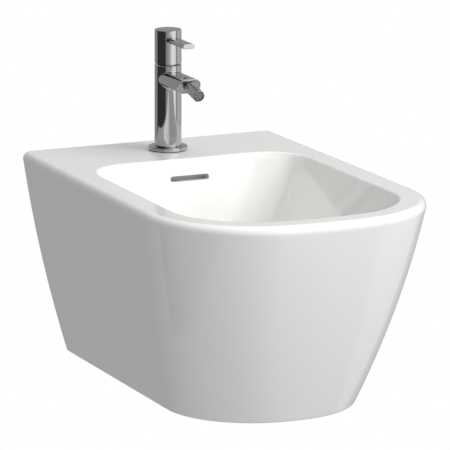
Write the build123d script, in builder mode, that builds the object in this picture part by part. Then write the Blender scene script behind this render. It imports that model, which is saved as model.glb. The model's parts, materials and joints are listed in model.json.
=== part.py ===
"""Wall-hung bidet with a single-lever tap, a ball-jointed spray nozzle and a push-plug waste.

Millimetres. +X is right for a person who faces the front, +Y points into the wall, +Z is up.
The origin is midway between the two wall-fixing holes, on the wall plane.
"""

import os
from math import atan2, cos, radians, sin, sqrt, tan

from build123d import *

os.makedirs("parts", exist_ok=True)

# Ceramic body: overall form
body_width = 360.0
body_depth = 540.0
body_height = 263.0
fixing_below_deck = 70.0
top_corner_radius = 141.0
top_front_radius = 486.0
top_side_slant = 0.92
foot_width = 240.0
foot_depth = 441.0
foot_corner_radius = 110.0
foot_front_radius = 200.0
foot_side_slant = 1.23
side_bulge = 5.7
front_bulge = 7.5
rim_radius = 8.5
glaze_radius = 1.2
wall_trim = 2.0
foot_overcut = 1.0

# Ceramic body: walls
skirt_wall = 11.0
deck_thickness = 14.0
back_plate = 18.0
bowl_wall = 10.0

# Bowl
rim_width = 34.6
bowl_back = 122.3
bowl_back_corner = 53.0
bowl_lip_radius = 4.5
bowl_depth = 145.0
back_wall_lean = 12.0
side_wall_lean = 26.0
front_wall_lean = 25.0
bowl_floor_front_half = 14.7
bowl_floor_front_radius = 260.0
bowl_floor_back_corner = 30.0
facet_start_depth = 16.0
facet_turn = 26.0
facet_lean = 26.0
crease_radius = 10.0
floor_slope = 5.0

# Drain and overflow in the ceramic
drain_from_wall = 250.0
drain_hole_clearance = 1.25
drain_seat_clearance = 1.0
drain_seat_depth = 2.0
boss_wall = 9.0
boss_height = 44.0
boss_bore_clearance = 6.5
boss_top_thickness = 12.0
overflow_slot_length = 53.0
overflow_slot_height = 7.0
overflow_slot_depth = 24.0
duct_gap = 13.0
duct_wall = 8.0
duct_foot_gap = 14.0
duct_foot_width = 30.0

# Wall fixing
fixing_spacing = 180.0
fixing_hole_radius = 11.0
service_opening_width = 116.0
service_opening_below_deck = 42.0
fixing_thread_radius = 6.0
fixing_thread_clearance = 0.5
sleeve_flange_lap = 5.0
sleeve_flange_thickness = 3.0
fixing_washer_inset = 1.0
fixing_washer_thickness = 2.5
fixing_nut_wall = 3.0
fixing_nut_height = 10.0
hexagon = 6
octagon = 8

# Tap: column, base and seam
tap_from_wall = 60.0
column_wall = 3.5
base_ring_lap = 7.7
base_ring_height = 4.2
base_ring_round = 1.0
base_ring_chamfer = 0.25
base_gasket_thickness = 1.0
base_gasket_inset = 1.6
seam_height = 109.0
seam_gap = 1.5
seam_chamfer = 0.5

# Tap: spout
spout_width = 31.6
spout_height = 18.6
spout_below_seam = 17.4
spout_reach = 65.0
spout_wall = 1.1
outlet_drop = 14.0
spout_edge_round = 0.7
water_bore_radius = 4.0

# Tap: cap and lever
cap_height = 43.0
cap_wall = 2.7
cap_cavity_clearance = 7.0
cap_top_round = 0.7
lever_width = 16.0
lever_thickness = 6.4
lever_below_top = 11.7
lever_reach = 64.3
lever_edge_round = 0.6

# Tap: cartridge
cartridge_radius = 13.3
cartridge_wall = 1.9
cartridge_drop = 25.5
cartridge_floor_thickness = 3.0
cartridge_port_radius = 2.0
shoulder_below_seam = 5.0
neck_step = 2.1
neck_wall = 2.35
neck_above_seam = 3.0
pivot_above_seam = 4.0
relief_angle = 13.5
rotor_foot_below_shoulder = 2.0
rotor_above_pivot = 4.0
rotor_rim = 2.5
stem_side = 6.5
stem_square_drop = 6.0
stem_end_gap = 1.0
stem_ball_radius = 2.6
stem_arm = 12.6
stem_arm_radius = 1.8
pivot_pin_radius = 1.5
disc_thickness = 3.0
moving_disc_room = 3.2
driver_lip = 1.0
stem_ball_float = 0.9
gasket_thickness = 1.5
ring_nut_lap = 1.3
ring_nut_thread_height = 4.4
ring_nut_collar_wall = 1.7
ring_nut_below_neck = 0.4
stem_socket_depth = 13.0
grub_screw_radius = 2.5
grub_screw_length = 6.0
grub_screw_rise = 7.0
grub_socket_flats = 2.5
grub_socket_depth = 3.0

# Tap: fastening under the deck and water inlets
spigot_step = 1.4
spigot_length = 4.0
tap_hole_clearance = 2.0
stud_radius = 3.0
stud_length = 60.0
stud_engagement = 14.0
stud_edge = 4.0
clamp_lap = 6.5
clamp_slot_offset = 6.0
clamp_rubber_thickness = 3.0
clamp_plate_thickness = 2.5
clamp_nut_wall = 2.0
clamp_nut_height = 12.0
inlet_radius = 4.0
inlet_depth = 12.0
inlet_gap = 3.0
inlet_offset_y = 1.5
hose_clearance = 2.5
riser_radius = 2.2

# Nozzle
nozzle_tilt_limit = 20.0
ball_inset = 3.0
swivel_wall = 2.2
swivel_front = 0.2
swivel_back_inset = 0.4
swivel_port_radius = 3.4
nozzle_seal_thickness = 2.8
nozzle_seal_width = 3.55
collar_rim = 1.9
collar_back = 0.4
collar_seat_end = 2.3
neck_drop = 2.2
nozzle_neck_wall = 1.6
barrel_inset = 0.7
barrel_gap = 0.68
barrel_end = 33.8
barrel_chamfer = 1.0
barrel_end_chamfer = 0.35
barrel_lip = 1.1
insert_thickness = 4.0
insert_recess = 0.8
insert_chamber = 3.0
spray_hole_radius = 0.6
spray_margin = 2.0
spray_inner_count = 6
spray_outer_count = 12

# Waste
waste_tube_radius = 21.5
waste_tube_wall = 3.0
waste_flange_radius = 32.0
waste_flange_thickness = 3.0
waste_flange_round = 1.0
waste_gasket_thickness = 1.5
waste_gasket_inset = 1.0
waste_window_width = 12.0
waste_window_height = 16.0
waste_window_depth = 18.0
throat_flare = 4.5
throat_depth = 5.0
cone_gasket_height = 8.0
cone_gasket_rise = 4.0
cone_gasket_lap = 6.0
slip_ring_thickness = 1.5
back_nut_wall = 6.5
back_nut_height = 11.0
tail_radius = 16.0
tail_wall = 1.8
tail_length = 34.0
tail_collar_lap = 0.5
tail_collar_height = 8.0
tail_spigot_length = 10.0
tail_seal_thickness = 2.0

# Push plug
plug_inset = 1.0
plug_thickness = 4.0
plug_crown = 1.6
plug_edge_round = 1.2
plug_lift = 9.0
plug_seal_lap = 0.5
plug_seal_section = 1.5
plug_hub_clearance = 0.3
plug_hub_height = 6.0
plug_stem_radius = 4.0
clip_rim = 2.5
clip_thickness = 1.2
stem_tip = 1.2
guide_wall = 4.5
guide_length = 26.0
guide_below_flange = 17.0
spider_count = 3
spider_thickness = 3.0
spider_height = 6.0
spider_ring_thickness = 2.0
spring_clearance = 1.2
spring_wire_radius = 0.6
spring_turns = 6

# Fits
running_clearance = 0.05
ball_clearance = 0.09
seat_clearance = 0.1
rest_gap = 0.1

# Radii and widths that fit to one another
waste_bore_radius = waste_tube_radius - waste_tube_wall
throat_radius = waste_bore_radius + throat_flare
drain_hole_radius = waste_tube_radius + drain_hole_clearance
drain_seat_radius = waste_flange_radius + drain_seat_clearance
boss_bore_radius = waste_tube_radius + boss_bore_clearance
boss_radius = boss_bore_radius + boss_wall
cone_gasket_radius = boss_bore_radius + cone_gasket_lap
tail_bore_radius = tail_radius - tail_wall
plug_radius = waste_flange_radius - plug_inset
plug_seal_radius = waste_bore_radius + plug_seal_lap
plug_hub_radius = waste_bore_radius - plug_hub_clearance
guide_radius = plug_stem_radius + guide_wall
spring_mean_radius = plug_stem_radius + spring_clearance + spring_wire_radius
sleeve_bore_radius = fixing_thread_radius + fixing_thread_clearance
sleeve_flange_radius = fixing_hole_radius + sleeve_flange_lap
fixing_washer_radius = sleeve_flange_radius - fixing_washer_inset
column_radius = cartridge_radius + seat_clearance + column_wall
base_ring_radius = column_radius + base_ring_lap
spigot_radius = column_radius - spigot_step
tap_hole_radius = spigot_radius + tap_hole_clearance
stud_offset = spigot_radius - stud_edge
clamp_radius = tap_hole_radius + clamp_lap
inlet_offset_x = inlet_radius + inlet_gap / 2
clamp_slot_width = 2 * (inlet_offset_x + inlet_radius + hose_clearance)
cap_cavity_radius = column_radius - cap_wall
ring_nut_radius = cartridge_radius + ring_nut_lap
cartridge_neck_radius = cartridge_radius - neck_step
nut_bore = cartridge_neck_radius + seat_clearance
rotor_radius = cartridge_neck_radius - neck_wall - running_clearance
disc_room_radius = cartridge_radius - cartridge_wall
moving_disc_radius = disc_room_radius - moving_disc_room
nozzle_bore_radius = spout_height / 2 - spout_wall
ball_radius = nozzle_bore_radius - swivel_wall
seat_radius = ball_radius + ball_clearance
swivel_radius = nozzle_bore_radius - running_clearance
swivel_back = ball_radius - swivel_back_inset
nozzle_bore_depth = ball_inset + swivel_back + rest_gap + nozzle_seal_thickness
neck_radius = ball_radius - neck_drop
barrel_radius = nozzle_bore_radius - barrel_inset
insert_radius = barrel_radius - barrel_lip
spray_outer_radius = insert_radius - spray_margin
tilt_limit = radians(nozzle_tilt_limit)
barrel_start = ball_inset / cos(tilt_limit) + barrel_radius * tan(tilt_limit) + barrel_gap

# Levels and places that follow from the sizes above
deck = fixing_below_deck
foot = deck - body_height
bowl_floor = deck - bowl_depth
drain_seat = bowl_floor - drain_seat_depth
boss_foot = bowl_floor - boss_height
flange_foot = drain_seat + waste_gasket_thickness
flange_top = flange_foot + waste_flange_thickness
cone_foot = boss_foot - cone_gasket_height
slip_foot = cone_foot - slip_ring_thickness
tube_foot = slip_foot - back_nut_height
tap_base = deck + base_gasket_thickness
column_foot = tap_base + base_ring_height
seam = deck + seam_height
spout_mid = seam - spout_below_seam
housing_foot = seam - cartridge_drop
chamber_floor = housing_foot - gasket_thickness
disc_floor = housing_foot + cartridge_floor_thickness
shoulder = seam - shoulder_below_seam
neck_top = seam + neck_above_seam
pivot = seam + pivot_above_seam
rotor_foot = shoulder - rotor_foot_below_shoulder
rotor_top = pivot + rotor_above_pivot
cap_foot = seam + seam_gap
cap_top = cap_foot + cap_height
cavity_top = rotor_top + cap_cavity_clearance
stem_top = cavity_top + stem_socket_depth - stem_end_gap
grub_screw_level = cavity_top + grub_screw_rise
lever_mid = cap_top - lever_below_top
drain_axis = Axis((0, -drain_from_wall, 0), (0, 0, 1))
outlet_direction = Vector(0, -cos(radians(outlet_drop)), -sin(radians(outlet_drop)))
outlet_centre = Vector(0, -tap_from_wall - spout_reach, spout_mid)
ball_centre = outlet_centre - outlet_direction * ball_inset
fixing_places = [(-fixing_spacing / 2, 0), (fixing_spacing / 2, 0)]
inlet_places = [(-inlet_offset_x, -inlet_offset_y), (inlet_offset_x, -inlet_offset_y)]
tap_plane = Plane.XZ.offset(tap_from_wall)
drain_plane = Plane.XZ.offset(drain_from_wall)
pivot_plane = Plane(origin=(0, -tap_from_wall, pivot), x_dir=(0, 1, 0), z_dir=(1, 0, 0))
outlet_plane = Plane(origin=outlet_centre, x_dir=(1, 0, 0), z_dir=outlet_direction)
nozzle_axis = Axis(ball_centre, outlet_direction)
nozzle_profile = Plane(
    origin=ball_centre,
    x_dir=(0, -sin(radians(outlet_drop)), cos(radians(outlet_drop))),
    z_dir=(1, 0, 0),
)


def level(height: float, from_wall: float = 0.0, x: float = 0.0) -> Plane:
    """Level plane at a height, with its origin at a distance from the wall."""
    return Plane(origin=(x, -from_wall, height), x_dir=(1, 0, 0), z_dir=(0, 0, 1))


def ring(outer: float, inner: float, low: float, high: float, from_wall: float, x: float = 0.0) -> Part:
    """Plain upright ring, or a disc when the inner radius is nought."""
    with BuildPart() as piece:
        with BuildSketch(level(low, from_wall, x)):
            Circle(outer)
            if inner > 0:
                Circle(inner, mode=Mode.SUBTRACT)
        extrude(amount=high - low)
    return piece.part


def body_share(share: float, inset: float = 0.0) -> dict:
    """Outline of the body at a share of its height below the deck, drawn in by an inset."""
    bulge = 4 * share * (1 - share)

    def between(top: float, bottom: float) -> float:
        return top + (bottom - top) * share

    return {
        "half_width": between(body_width, foot_width) / 2 + side_bulge * bulge - inset,
        "depth": between(body_depth, foot_depth) + front_bulge * bulge - inset,
        "corner_radius": between(top_corner_radius, foot_corner_radius) - inset,
        "front_radius": between(top_front_radius, foot_front_radius) - inset,
        "slant": between(top_side_slant, foot_side_slant),
    }


def outline(
    plane, half_width, depth, corner_radius, front_radius, slant, back, back_corner=0.0
) -> Sketch:
    """Plan outline: straight back, slightly splayed sides, round front corners and a bowed front."""
    tilt = radians(slant)
    centre_x = half_width - corner_radius
    front_centre_y = front_radius - depth
    centre_y = front_centre_y - sqrt((front_radius - corner_radius) ** 2 - centre_x**2)
    side_x = centre_x + corner_radius * cos(tilt)
    side_y = centre_y + corner_radius * sin(tilt)
    back_x = side_x - (-back - side_y) * tan(tilt)
    turn = atan2(centre_y - front_centre_y, centre_x)
    middle = (tilt + turn) / 2
    arc_x = centre_x + corner_radius * cos(middle)
    arc_y = centre_y + corner_radius * sin(middle)
    front_x = front_radius * cos(turn)
    front_y = front_centre_y + front_radius * sin(turn)
    with BuildSketch(plane) as drawn:
        with BuildLine():
            Line((-back_x, -back), (back_x, -back))
            Line((back_x, -back), (side_x, side_y))
            ThreePointArc((side_x, side_y), (arc_x, arc_y), (front_x, front_y))
            ThreePointArc((front_x, front_y), (0, -depth), (-front_x, front_y))
            ThreePointArc((-front_x, front_y), (-arc_x, arc_y), (-side_x, side_y))
            Line((-side_x, side_y), (-back_x, -back))
        make_face()
        if back_corner > 0:
            fillet(drawn.vertices().group_by(Axis.Y)[-1], back_corner)
    return drawn.sketch


def facet_plane(side: int, grow: float) -> Plane:
    """Sloping flat that cuts a back corner of the bowl; its normal points into the bowl."""
    turn = radians(facet_turn)
    lean = radians(facet_lean)
    shrink = (bowl_back_corner - bowl_floor_back_corner) * facet_start_depth / bowl_depth
    corner = bowl_back_corner - shrink
    side_x = body_width / 2 - rim_width - facet_start_depth * tan(radians(side_wall_lean))
    back_y = -bowl_back - facet_start_depth * tan(radians(back_wall_lean))
    start = Vector(
        side * (side_x - corner + corner * sin(turn)),
        back_y - corner + corner * cos(turn),
        deck - facet_start_depth,
    )
    normal = Vector(-side * sin(turn) * cos(lean), -cos(turn) * cos(lean), sin(lean))
    return Plane(origin=start - normal * grow, z_dir=normal)


def bowl_form(grow: float, finished: bool) -> Part:
    """The bowl's hollow, or with a positive grow its outer skin; only a finished one has round edges."""
    inset = rim_width - grow
    drop = bowl_depth + grow
    floor_half_width = body_width / 2 - inset - drop * tan(radians(side_wall_lean))
    mouth = outline(
        level(deck),
        **body_share(0.0, inset),
        back=bowl_back - grow,
        back_corner=bowl_back_corner + grow,
    )
    floor = outline(
        level(deck - drop),
        half_width=floor_half_width,
        depth=body_depth - inset - drop * tan(radians(front_wall_lean)),
        corner_radius=floor_half_width - bowl_floor_front_half,
        front_radius=bowl_floor_front_radius + grow,
        slant=top_side_slant,
        back=bowl_back - grow + drop * tan(radians(back_wall_lean)),
        back_corner=bowl_floor_back_corner + grow,
    )
    with BuildPart() as form:
        loft(sections=[mouth, floor], ruled=True)
        for side in (-1, 1):
            split(bisect_by=facet_plane(side, grow), keep=Keep.TOP)
        with BuildSketch(drain_plane):
            with BuildLine():
                Polyline(
                    (0, deck - drop),
                    (body_depth, deck - drop + body_depth * tan(radians(floor_slope))),
                    (body_depth, deck + bowl_wall),
                    (0, deck + bowl_wall),
                    close=True,
                )
            make_face()
        revolve(axis=drain_axis, mode=Mode.INTERSECT)
        if finished:
            flats = form.faces().filter_by(GeomType.PLANE).sort_by(Axis.Z)[:2]
            creases = flats[0].edges() + flats[1].edges()
            fillet(creases, crease_radius)
    return form.part


def body_section(share: float, inset: float, back: float) -> Sketch:
    """Level section of the body at a share of its height below the deck."""
    return outline(level(deck - body_height * share), **body_share(share, inset), back=back)


def duct_outline(gap: float, foot_gap: float, reach: float) -> Sketch:
    """Side view of the overflow duct, which runs down behind the bowl and forward to the drain."""
    lean = tan(radians(back_wall_lean))
    skin = bowl_back - bowl_wall
    top = overflow_slot_depth - overflow_slot_height
    low = bowl_depth + bowl_wall + foot_gap
    with BuildSketch(Plane.YZ) as drawn:
        with BuildLine():
            Polyline(
                (-skin - top * lean + gap, deck - top),
                (-skin - top * lean - bowl_wall / 2, deck - top),
                (-skin - bowl_depth * lean - bowl_wall / 2, deck - bowl_depth - bowl_wall / 2),
                (-drain_from_wall + reach, deck - bowl_depth - bowl_wall / 2),
                (-drain_from_wall + reach, deck - low),
                (-skin - low * lean + gap, deck - low),
                close=True,
            )
        make_face()
    return drawn.sketch


# Glazed ceramic body
bowl = bowl_form(0.0, finished=True)
bowl_skin = bowl_form(bowl_wall, finished=False)

with BuildPart() as drain_boss:
    with BuildSketch(level(boss_foot, drain_from_wall)):
        Circle(boss_radius)
    extrude(amount=boss_height)

with BuildPart() as duct_block:
    extrude(
        duct_outline(duct_gap + duct_wall, duct_foot_gap + duct_wall, boss_radius / 2),
        amount=overflow_slot_length / 2 + duct_wall,
        both=True,
    )

with BuildPart() as duct_bore:
    extrude(
        duct_outline(duct_gap, duct_foot_gap, duct_foot_gap + boss_radius),
        amount=overflow_slot_length / 2,
        both=True,
    )
    add(bowl_skin, mode=Mode.SUBTRACT)

with BuildPart() as duct_foot:
    with BuildSketch(level(deck - bowl_depth - bowl_wall - duct_foot_gap, drain_from_wall)):
        with Locations((0, boss_radius)):
            Rectangle(duct_foot_width, 2 * boss_radius)
    extrude(amount=duct_foot_gap)
    add(bowl_skin, mode=Mode.SUBTRACT)

with BuildPart() as service_hollow:
    shares = (deck_thickness / body_height, 0.5, 1 + foot_overcut / body_height)
    loft(sections=[body_section(share, skirt_wall, back_plate) for share in shares])
    add(bowl_skin, mode=Mode.SUBTRACT)
    add(drain_boss.part, mode=Mode.SUBTRACT)
    add(duct_block.part, mode=Mode.SUBTRACT)

with BuildPart() as ceramic_body:
    loft(sections=[body_section(share, 0.0, -wall_trim) for share in (0.0, 0.5, 1.0)])
    fillet(ceramic_body.edges().group_by(Axis.Z)[-1].sort_by(Axis.Y)[:-1], rim_radius)
    fillet(ceramic_body.edges().group_by(Axis.Z)[0].sort_by(Axis.Y)[:-1], glaze_radius)
    split(bisect_by=Plane.XZ, keep=Keep.TOP)
    add(bowl, mode=Mode.SUBTRACT)
    lip = ceramic_body.faces().filter_by(Axis.Z).sort_by(Axis.Z)[-1].inner_wires()[0].edges()
    fillet(lip, bowl_lip_radius)
    add(service_hollow.part, mode=Mode.SUBTRACT)
    add(duct_bore.part, mode=Mode.SUBTRACT)
    add(duct_foot.part, mode=Mode.SUBTRACT)
    with BuildSketch(Plane.XZ.offset(bowl_back - bowl_wall - duct_gap)):
        with Locations((0, deck - overflow_slot_depth)):
            SlotOverall(overflow_slot_length, overflow_slot_height)
    extrude(amount=bowl_back_corner, mode=Mode.SUBTRACT)
    with BuildSketch(level(drain_seat, drain_from_wall)):
        Circle(drain_seat_radius)
    extrude(amount=bowl_wall, mode=Mode.SUBTRACT)
    with BuildSketch(level(drain_seat, drain_from_wall)):
        Circle(drain_hole_radius)
    extrude(amount=-boss_height, mode=Mode.SUBTRACT)
    with BuildSketch(level(boss_foot, drain_from_wall)):
        Circle(boss_bore_radius)
    extrude(amount=boss_height - boss_top_thickness, mode=Mode.SUBTRACT)
    with BuildSketch(level(deck, tap_from_wall)):
        Circle(tap_hole_radius)
    extrude(amount=-2 * deck_thickness, mode=Mode.SUBTRACT)
    with BuildSketch(Plane.XZ):
        with Locations(*fixing_places):
            Circle(fixing_hole_radius)
    extrude(amount=back_plate + skirt_wall, mode=Mode.SUBTRACT)
    opening_height = body_height - service_opening_below_deck
    with BuildSketch(Plane.XZ):
        with Locations((0, foot + opening_height / 2 - skirt_wall)):
            RectangleRounded(service_opening_width, opening_height + 2 * skirt_wall, skirt_wall)
    extrude(amount=back_plate + skirt_wall, mode=Mode.SUBTRACT)
ceramic_body.part.label = "ceramic_body"
export_step(ceramic_body.part, "parts/ceramic_body.step")

# Wall fixing: sleeves, washers and nuts, a pair of each


def fixing_rings(outer: float, inner: float, start: float, thickness: float) -> Part:
    """Two rings round the fixing axes, from a distance off the wall outwards."""
    with BuildPart() as rings:
        with BuildSketch(Plane.XZ.offset(start)):
            with Locations(*fixing_places):
                Circle(outer)
                Circle(inner, mode=Mode.SUBTRACT)
        extrude(amount=thickness)
    return rings.part


with BuildPart() as wall_sleeves:
    add(fixing_rings(fixing_hole_radius - seat_clearance, sleeve_bore_radius, 0.0, back_plate))
    add(fixing_rings(sleeve_flange_radius, sleeve_bore_radius, back_plate, sleeve_flange_thickness))
wall_sleeves.part.label = "wall_sleeves"
export_step(wall_sleeves.part, "parts/wall_sleeves.step")

washer_start = back_plate + sleeve_flange_thickness
with BuildPart() as wall_washers:
    add(fixing_rings(fixing_washer_radius, sleeve_bore_radius, washer_start, fixing_washer_thickness))
wall_washers.part.label = "wall_washers"
export_step(wall_washers.part, "parts/wall_washers.step")

with BuildPart() as wall_nuts:
    with BuildSketch(Plane.XZ.offset(washer_start + fixing_washer_thickness)):
        with Locations(*fixing_places):
            RegularPolygon(fixing_thread_radius + fixing_nut_wall, hexagon, major_radius=False)
            Circle(fixing_thread_radius, mode=Mode.SUBTRACT)
    extrude(amount=fixing_nut_height)
wall_nuts.part.label = "wall_nuts"
export_step(wall_nuts.part, "parts/wall_nuts.step")

# Tap base: gasket and ring between the deck and the column
spigot_bore = spigot_radius + seat_clearance
with BuildPart() as base_gasket:
    add(ring(base_ring_radius - base_gasket_inset, spigot_bore, deck, tap_base, tap_from_wall))
base_gasket.part.label = "base_gasket"
export_step(base_gasket.part, "parts/base_gasket.step")

with BuildPart() as base_ring:
    add(ring(base_ring_radius, spigot_bore, tap_base, column_foot, tap_from_wall))
    fillet(base_ring.edges().group_by(Axis.Z)[-1].sort_by(SortBy.LENGTH)[-1], base_ring_round)
    chamfer(base_ring.edges().group_by(Axis.Z)[0].sort_by(SortBy.LENGTH)[-1], base_ring_chamfer)
base_ring.part.label = "base_ring"
export_step(base_ring.part, "parts/base_ring.step")

# Tap column and spout, one casting
with BuildPart() as spout:
    with BuildSketch(tap_plane):
        with Locations((0, spout_mid)):
            SlotOverall(spout_width, spout_height)
    extrude(amount=spout_reach + spout_height)
    split(bisect_by=outlet_plane, keep=Keep.BOTTOM)
    fillet(spout.faces().sort_by(Axis.Y)[0].edges(), spout_edge_round)

with BuildPart() as tap_body:
    with BuildSketch(level(column_foot, tap_from_wall)):
        Circle(column_radius)
    extrude(amount=seam - column_foot)
    chamfer(tap_body.edges().group_by(Axis.Z)[-1], seam_chamfer)
    with BuildSketch(level(tap_base - spigot_length, tap_from_wall)):
        Circle(spigot_radius)
    extrude(amount=column_foot - tap_base + spigot_length)
    add(spout.part)
    with BuildSketch(level(seam, tap_from_wall)):
        Circle(cartridge_radius + seat_clearance)
    extrude(amount=chamber_floor - seam, mode=Mode.SUBTRACT)
    with BuildSketch(level(seam, tap_from_wall)):
        Circle(ring_nut_radius + seat_clearance)
    extrude(amount=shoulder - seam, mode=Mode.SUBTRACT)
    with BuildSketch(tap_plane):
        with Locations((0, spout_mid)):
            Circle(water_bore_radius)
    extrude(amount=spout_reach - nozzle_bore_depth / 2, mode=Mode.SUBTRACT)
    with BuildSketch(outlet_plane):
        Circle(nozzle_bore_radius)
    extrude(amount=-nozzle_bore_depth, mode=Mode.SUBTRACT)
    inlet_plane = level(tap_base - spigot_length, tap_from_wall)
    with BuildSketch(inlet_plane):
        with Locations(*inlet_places):
            Circle(inlet_radius)
    extrude(amount=inlet_depth, mode=Mode.SUBTRACT)
    with BuildSketch(inlet_plane):
        with Locations(*inlet_places):
            Circle(riser_radius)
    extrude(amount=chamber_floor - tap_base + spigot_length, mode=Mode.SUBTRACT)
    with BuildSketch(inlet_plane):
        with Locations((0, stud_offset)):
            Circle(stud_radius)
    extrude(amount=stud_engagement, mode=Mode.SUBTRACT)
tap_body.part.label = "tap_body"
export_step(tap_body.part, "parts/tap_body.step")

# Fastening under the deck
stud_top = tap_base - spigot_length + stud_engagement
clamp_top = deck - deck_thickness
with BuildPart() as tap_stud:
    add(ring(stud_radius, 0, stud_top - stud_length, stud_top, tap_from_wall - stud_offset))
tap_stud.part.label = "tap_stud"
export_step(tap_stud.part, "parts/tap_stud.step")


def clamp_plate(low: float, high: float) -> Part:
    """Horseshoe plate that leaves room for the supply hoses and has a hole for the stud."""
    with BuildPart() as plate:
        with BuildSketch(level(low, tap_from_wall)):
            Circle(clamp_radius)
            with Locations((0, -clamp_slot_offset)):
                Circle(clamp_slot_width / 2, mode=Mode.SUBTRACT)
            with Locations((0, -clamp_slot_offset - clamp_radius)):
                Rectangle(clamp_slot_width, 2 * clamp_radius, mode=Mode.SUBTRACT)
            with Locations((0, stud_offset)):
                Circle(stud_radius + seat_clearance, mode=Mode.SUBTRACT)
        extrude(amount=high - low)
    return plate.part


clamp_seam = clamp_top - clamp_rubber_thickness
clamp_foot = clamp_seam - clamp_plate_thickness
with BuildPart() as clamp_rubber:
    add(clamp_plate(clamp_seam, clamp_top))
clamp_rubber.part.label = "clamp_rubber"
export_step(clamp_rubber.part, "parts/clamp_rubber.step")
with BuildPart() as clamp_washer:
    add(clamp_plate(clamp_foot, clamp_seam))
clamp_washer.part.label = "clamp_washer"
export_step(clamp_washer.part, "parts/clamp_washer.step")

with BuildPart() as clamp_nut:
    with BuildSketch(level(clamp_foot, tap_from_wall - stud_offset)):
        RegularPolygon(stud_radius + clamp_nut_wall, hexagon, major_radius=False)
        Circle(stud_radius, mode=Mode.SUBTRACT)
    extrude(amount=-clamp_nut_height)
clamp_nut.part.label = "clamp_nut"
export_step(clamp_nut.part, "parts/clamp_nut.step")

# Cartridge: gasket, housing, ring nut, discs, rotor, pivot pin and stem
with BuildPart() as cartridge_gasket:
    with BuildSketch(level(chamber_floor, tap_from_wall)):
        Circle(cartridge_radius - seat_clearance)
        with Locations(*inlet_places):
            Circle(riser_radius, mode=Mode.SUBTRACT)
    extrude(amount=gasket_thickness)
cartridge_gasket.part.label = "cartridge_gasket"
export_step(cartridge_gasket.part, "parts/cartridge_gasket.step")

with BuildPart() as cartridge_housing:
    add(ring(cartridge_radius, disc_room_radius, disc_floor, rotor_foot, tap_from_wall))
    with BuildSketch(level(housing_foot, tap_from_wall)):
        Circle(cartridge_radius)
        with Locations(*inlet_places):
            Circle(riser_radius, mode=Mode.SUBTRACT)
    extrude(amount=cartridge_floor_thickness)
    rotor_bore = rotor_radius + running_clearance
    add(ring(cartridge_radius, rotor_bore, rotor_foot, shoulder, tap_from_wall))
    add(ring(cartridge_neck_radius, rotor_bore, rotor_foot, neck_top, tap_from_wall))
    with BuildSketch(tap_plane):
        with Locations((0, spout_mid)):
            Circle(cartridge_port_radius)
    extrude(amount=2 * cartridge_radius, mode=Mode.SUBTRACT)
cartridge_housing.part.label = "cartridge_housing"
export_step(cartridge_housing.part, "parts/cartridge_housing.step")

nut_step = shoulder + ring_nut_thread_height
nut_top = neck_top - ring_nut_below_neck
with BuildPart() as ring_nut:
    add(ring(ring_nut_radius, nut_bore, shoulder, nut_step, tap_from_wall))
    add(ring(nut_bore + ring_nut_collar_wall, nut_bore, nut_step, nut_top, tap_from_wall))
ring_nut.part.label = "ring_nut"
export_step(ring_nut.part, "parts/ring_nut.step")

fixed_disc_top = disc_floor + disc_thickness
with BuildPart() as fixed_disc:
    with BuildSketch(level(disc_floor, tap_from_wall)):
        Circle(disc_room_radius - seat_clearance)
        with Locations(*inlet_places):
            Circle(riser_radius, mode=Mode.SUBTRACT)
    extrude(amount=disc_thickness)
fixed_disc.part.label = "fixed_disc"
export_step(fixed_disc.part, "parts/fixed_disc.step")

stem_ball_level = pivot - stem_arm
driver_top = stem_ball_level + driver_lip
with BuildPart() as moving_disc:
    with BuildSketch(level(fixed_disc_top + running_clearance, tap_from_wall)):
        Circle(moving_disc_radius)
    extrude(amount=driver_top - fixed_disc_top - running_clearance)
    with BuildSketch(level(driver_top, tap_from_wall)):
        Circle(stem_ball_radius + running_clearance)
    extrude(amount=-driver_lip - stem_ball_radius - stem_ball_float, mode=Mode.SUBTRACT)
moving_disc.part.label = "moving_disc"
export_step(moving_disc.part, "parts/moving_disc.step")

with BuildPart() as cartridge_rotor:
    with BuildSketch(level(rotor_foot, tap_from_wall)):
        Circle(rotor_radius)
        Rectangle(stem_side + 2 * seat_clearance, 2 * (rotor_radius - rotor_rim), mode=Mode.SUBTRACT)
    extrude(amount=rotor_top - rotor_foot)
    with BuildSketch(pivot_plane):
        Circle(pivot_pin_radius)
    extrude(amount=rotor_radius, both=True, mode=Mode.SUBTRACT)
cartridge_rotor.part.label = "cartridge_rotor"
export_step(cartridge_rotor.part, "parts/cartridge_rotor.step")

with BuildPart() as pivot_pin:
    with BuildSketch(pivot_plane):
        Circle(pivot_pin_radius)
    extrude(amount=sqrt(rotor_radius**2 - pivot_pin_radius**2) - seat_clearance, both=True)
pivot_pin.part.label = "pivot_pin"
export_step(pivot_pin.part, "parts/pivot_pin.step")

with BuildPart() as lever_stem:
    with BuildSketch(level(pivot - stem_square_drop, tap_from_wall)):
        Rectangle(stem_side, stem_side)
    extrude(amount=stem_top - pivot + stem_square_drop)
    with BuildSketch(level(stem_ball_level, tap_from_wall)):
        Circle(stem_arm_radius)
    extrude(amount=stem_arm - stem_square_drop)
    with Locations((0, -tap_from_wall, stem_ball_level)):
        Sphere(stem_ball_radius)
    with BuildSketch(pivot_plane):
        Circle(pivot_pin_radius + running_clearance)
    extrude(amount=rotor_radius, both=True, mode=Mode.SUBTRACT)
lever_stem.part.label = "lever_stem"
export_step(lever_stem.part, "parts/lever_stem.step")

# Handle: cap and lever in one piece, with its grub screw
with BuildPart() as lever:
    with BuildSketch(tap_plane):
        with Locations((0, lever_mid)):
            SlotOverall(lever_width, lever_thickness)
    extrude(amount=lever_reach)
    fillet(lever.faces().sort_by(Axis.Y)[0].edges(), lever_edge_round)

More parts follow.
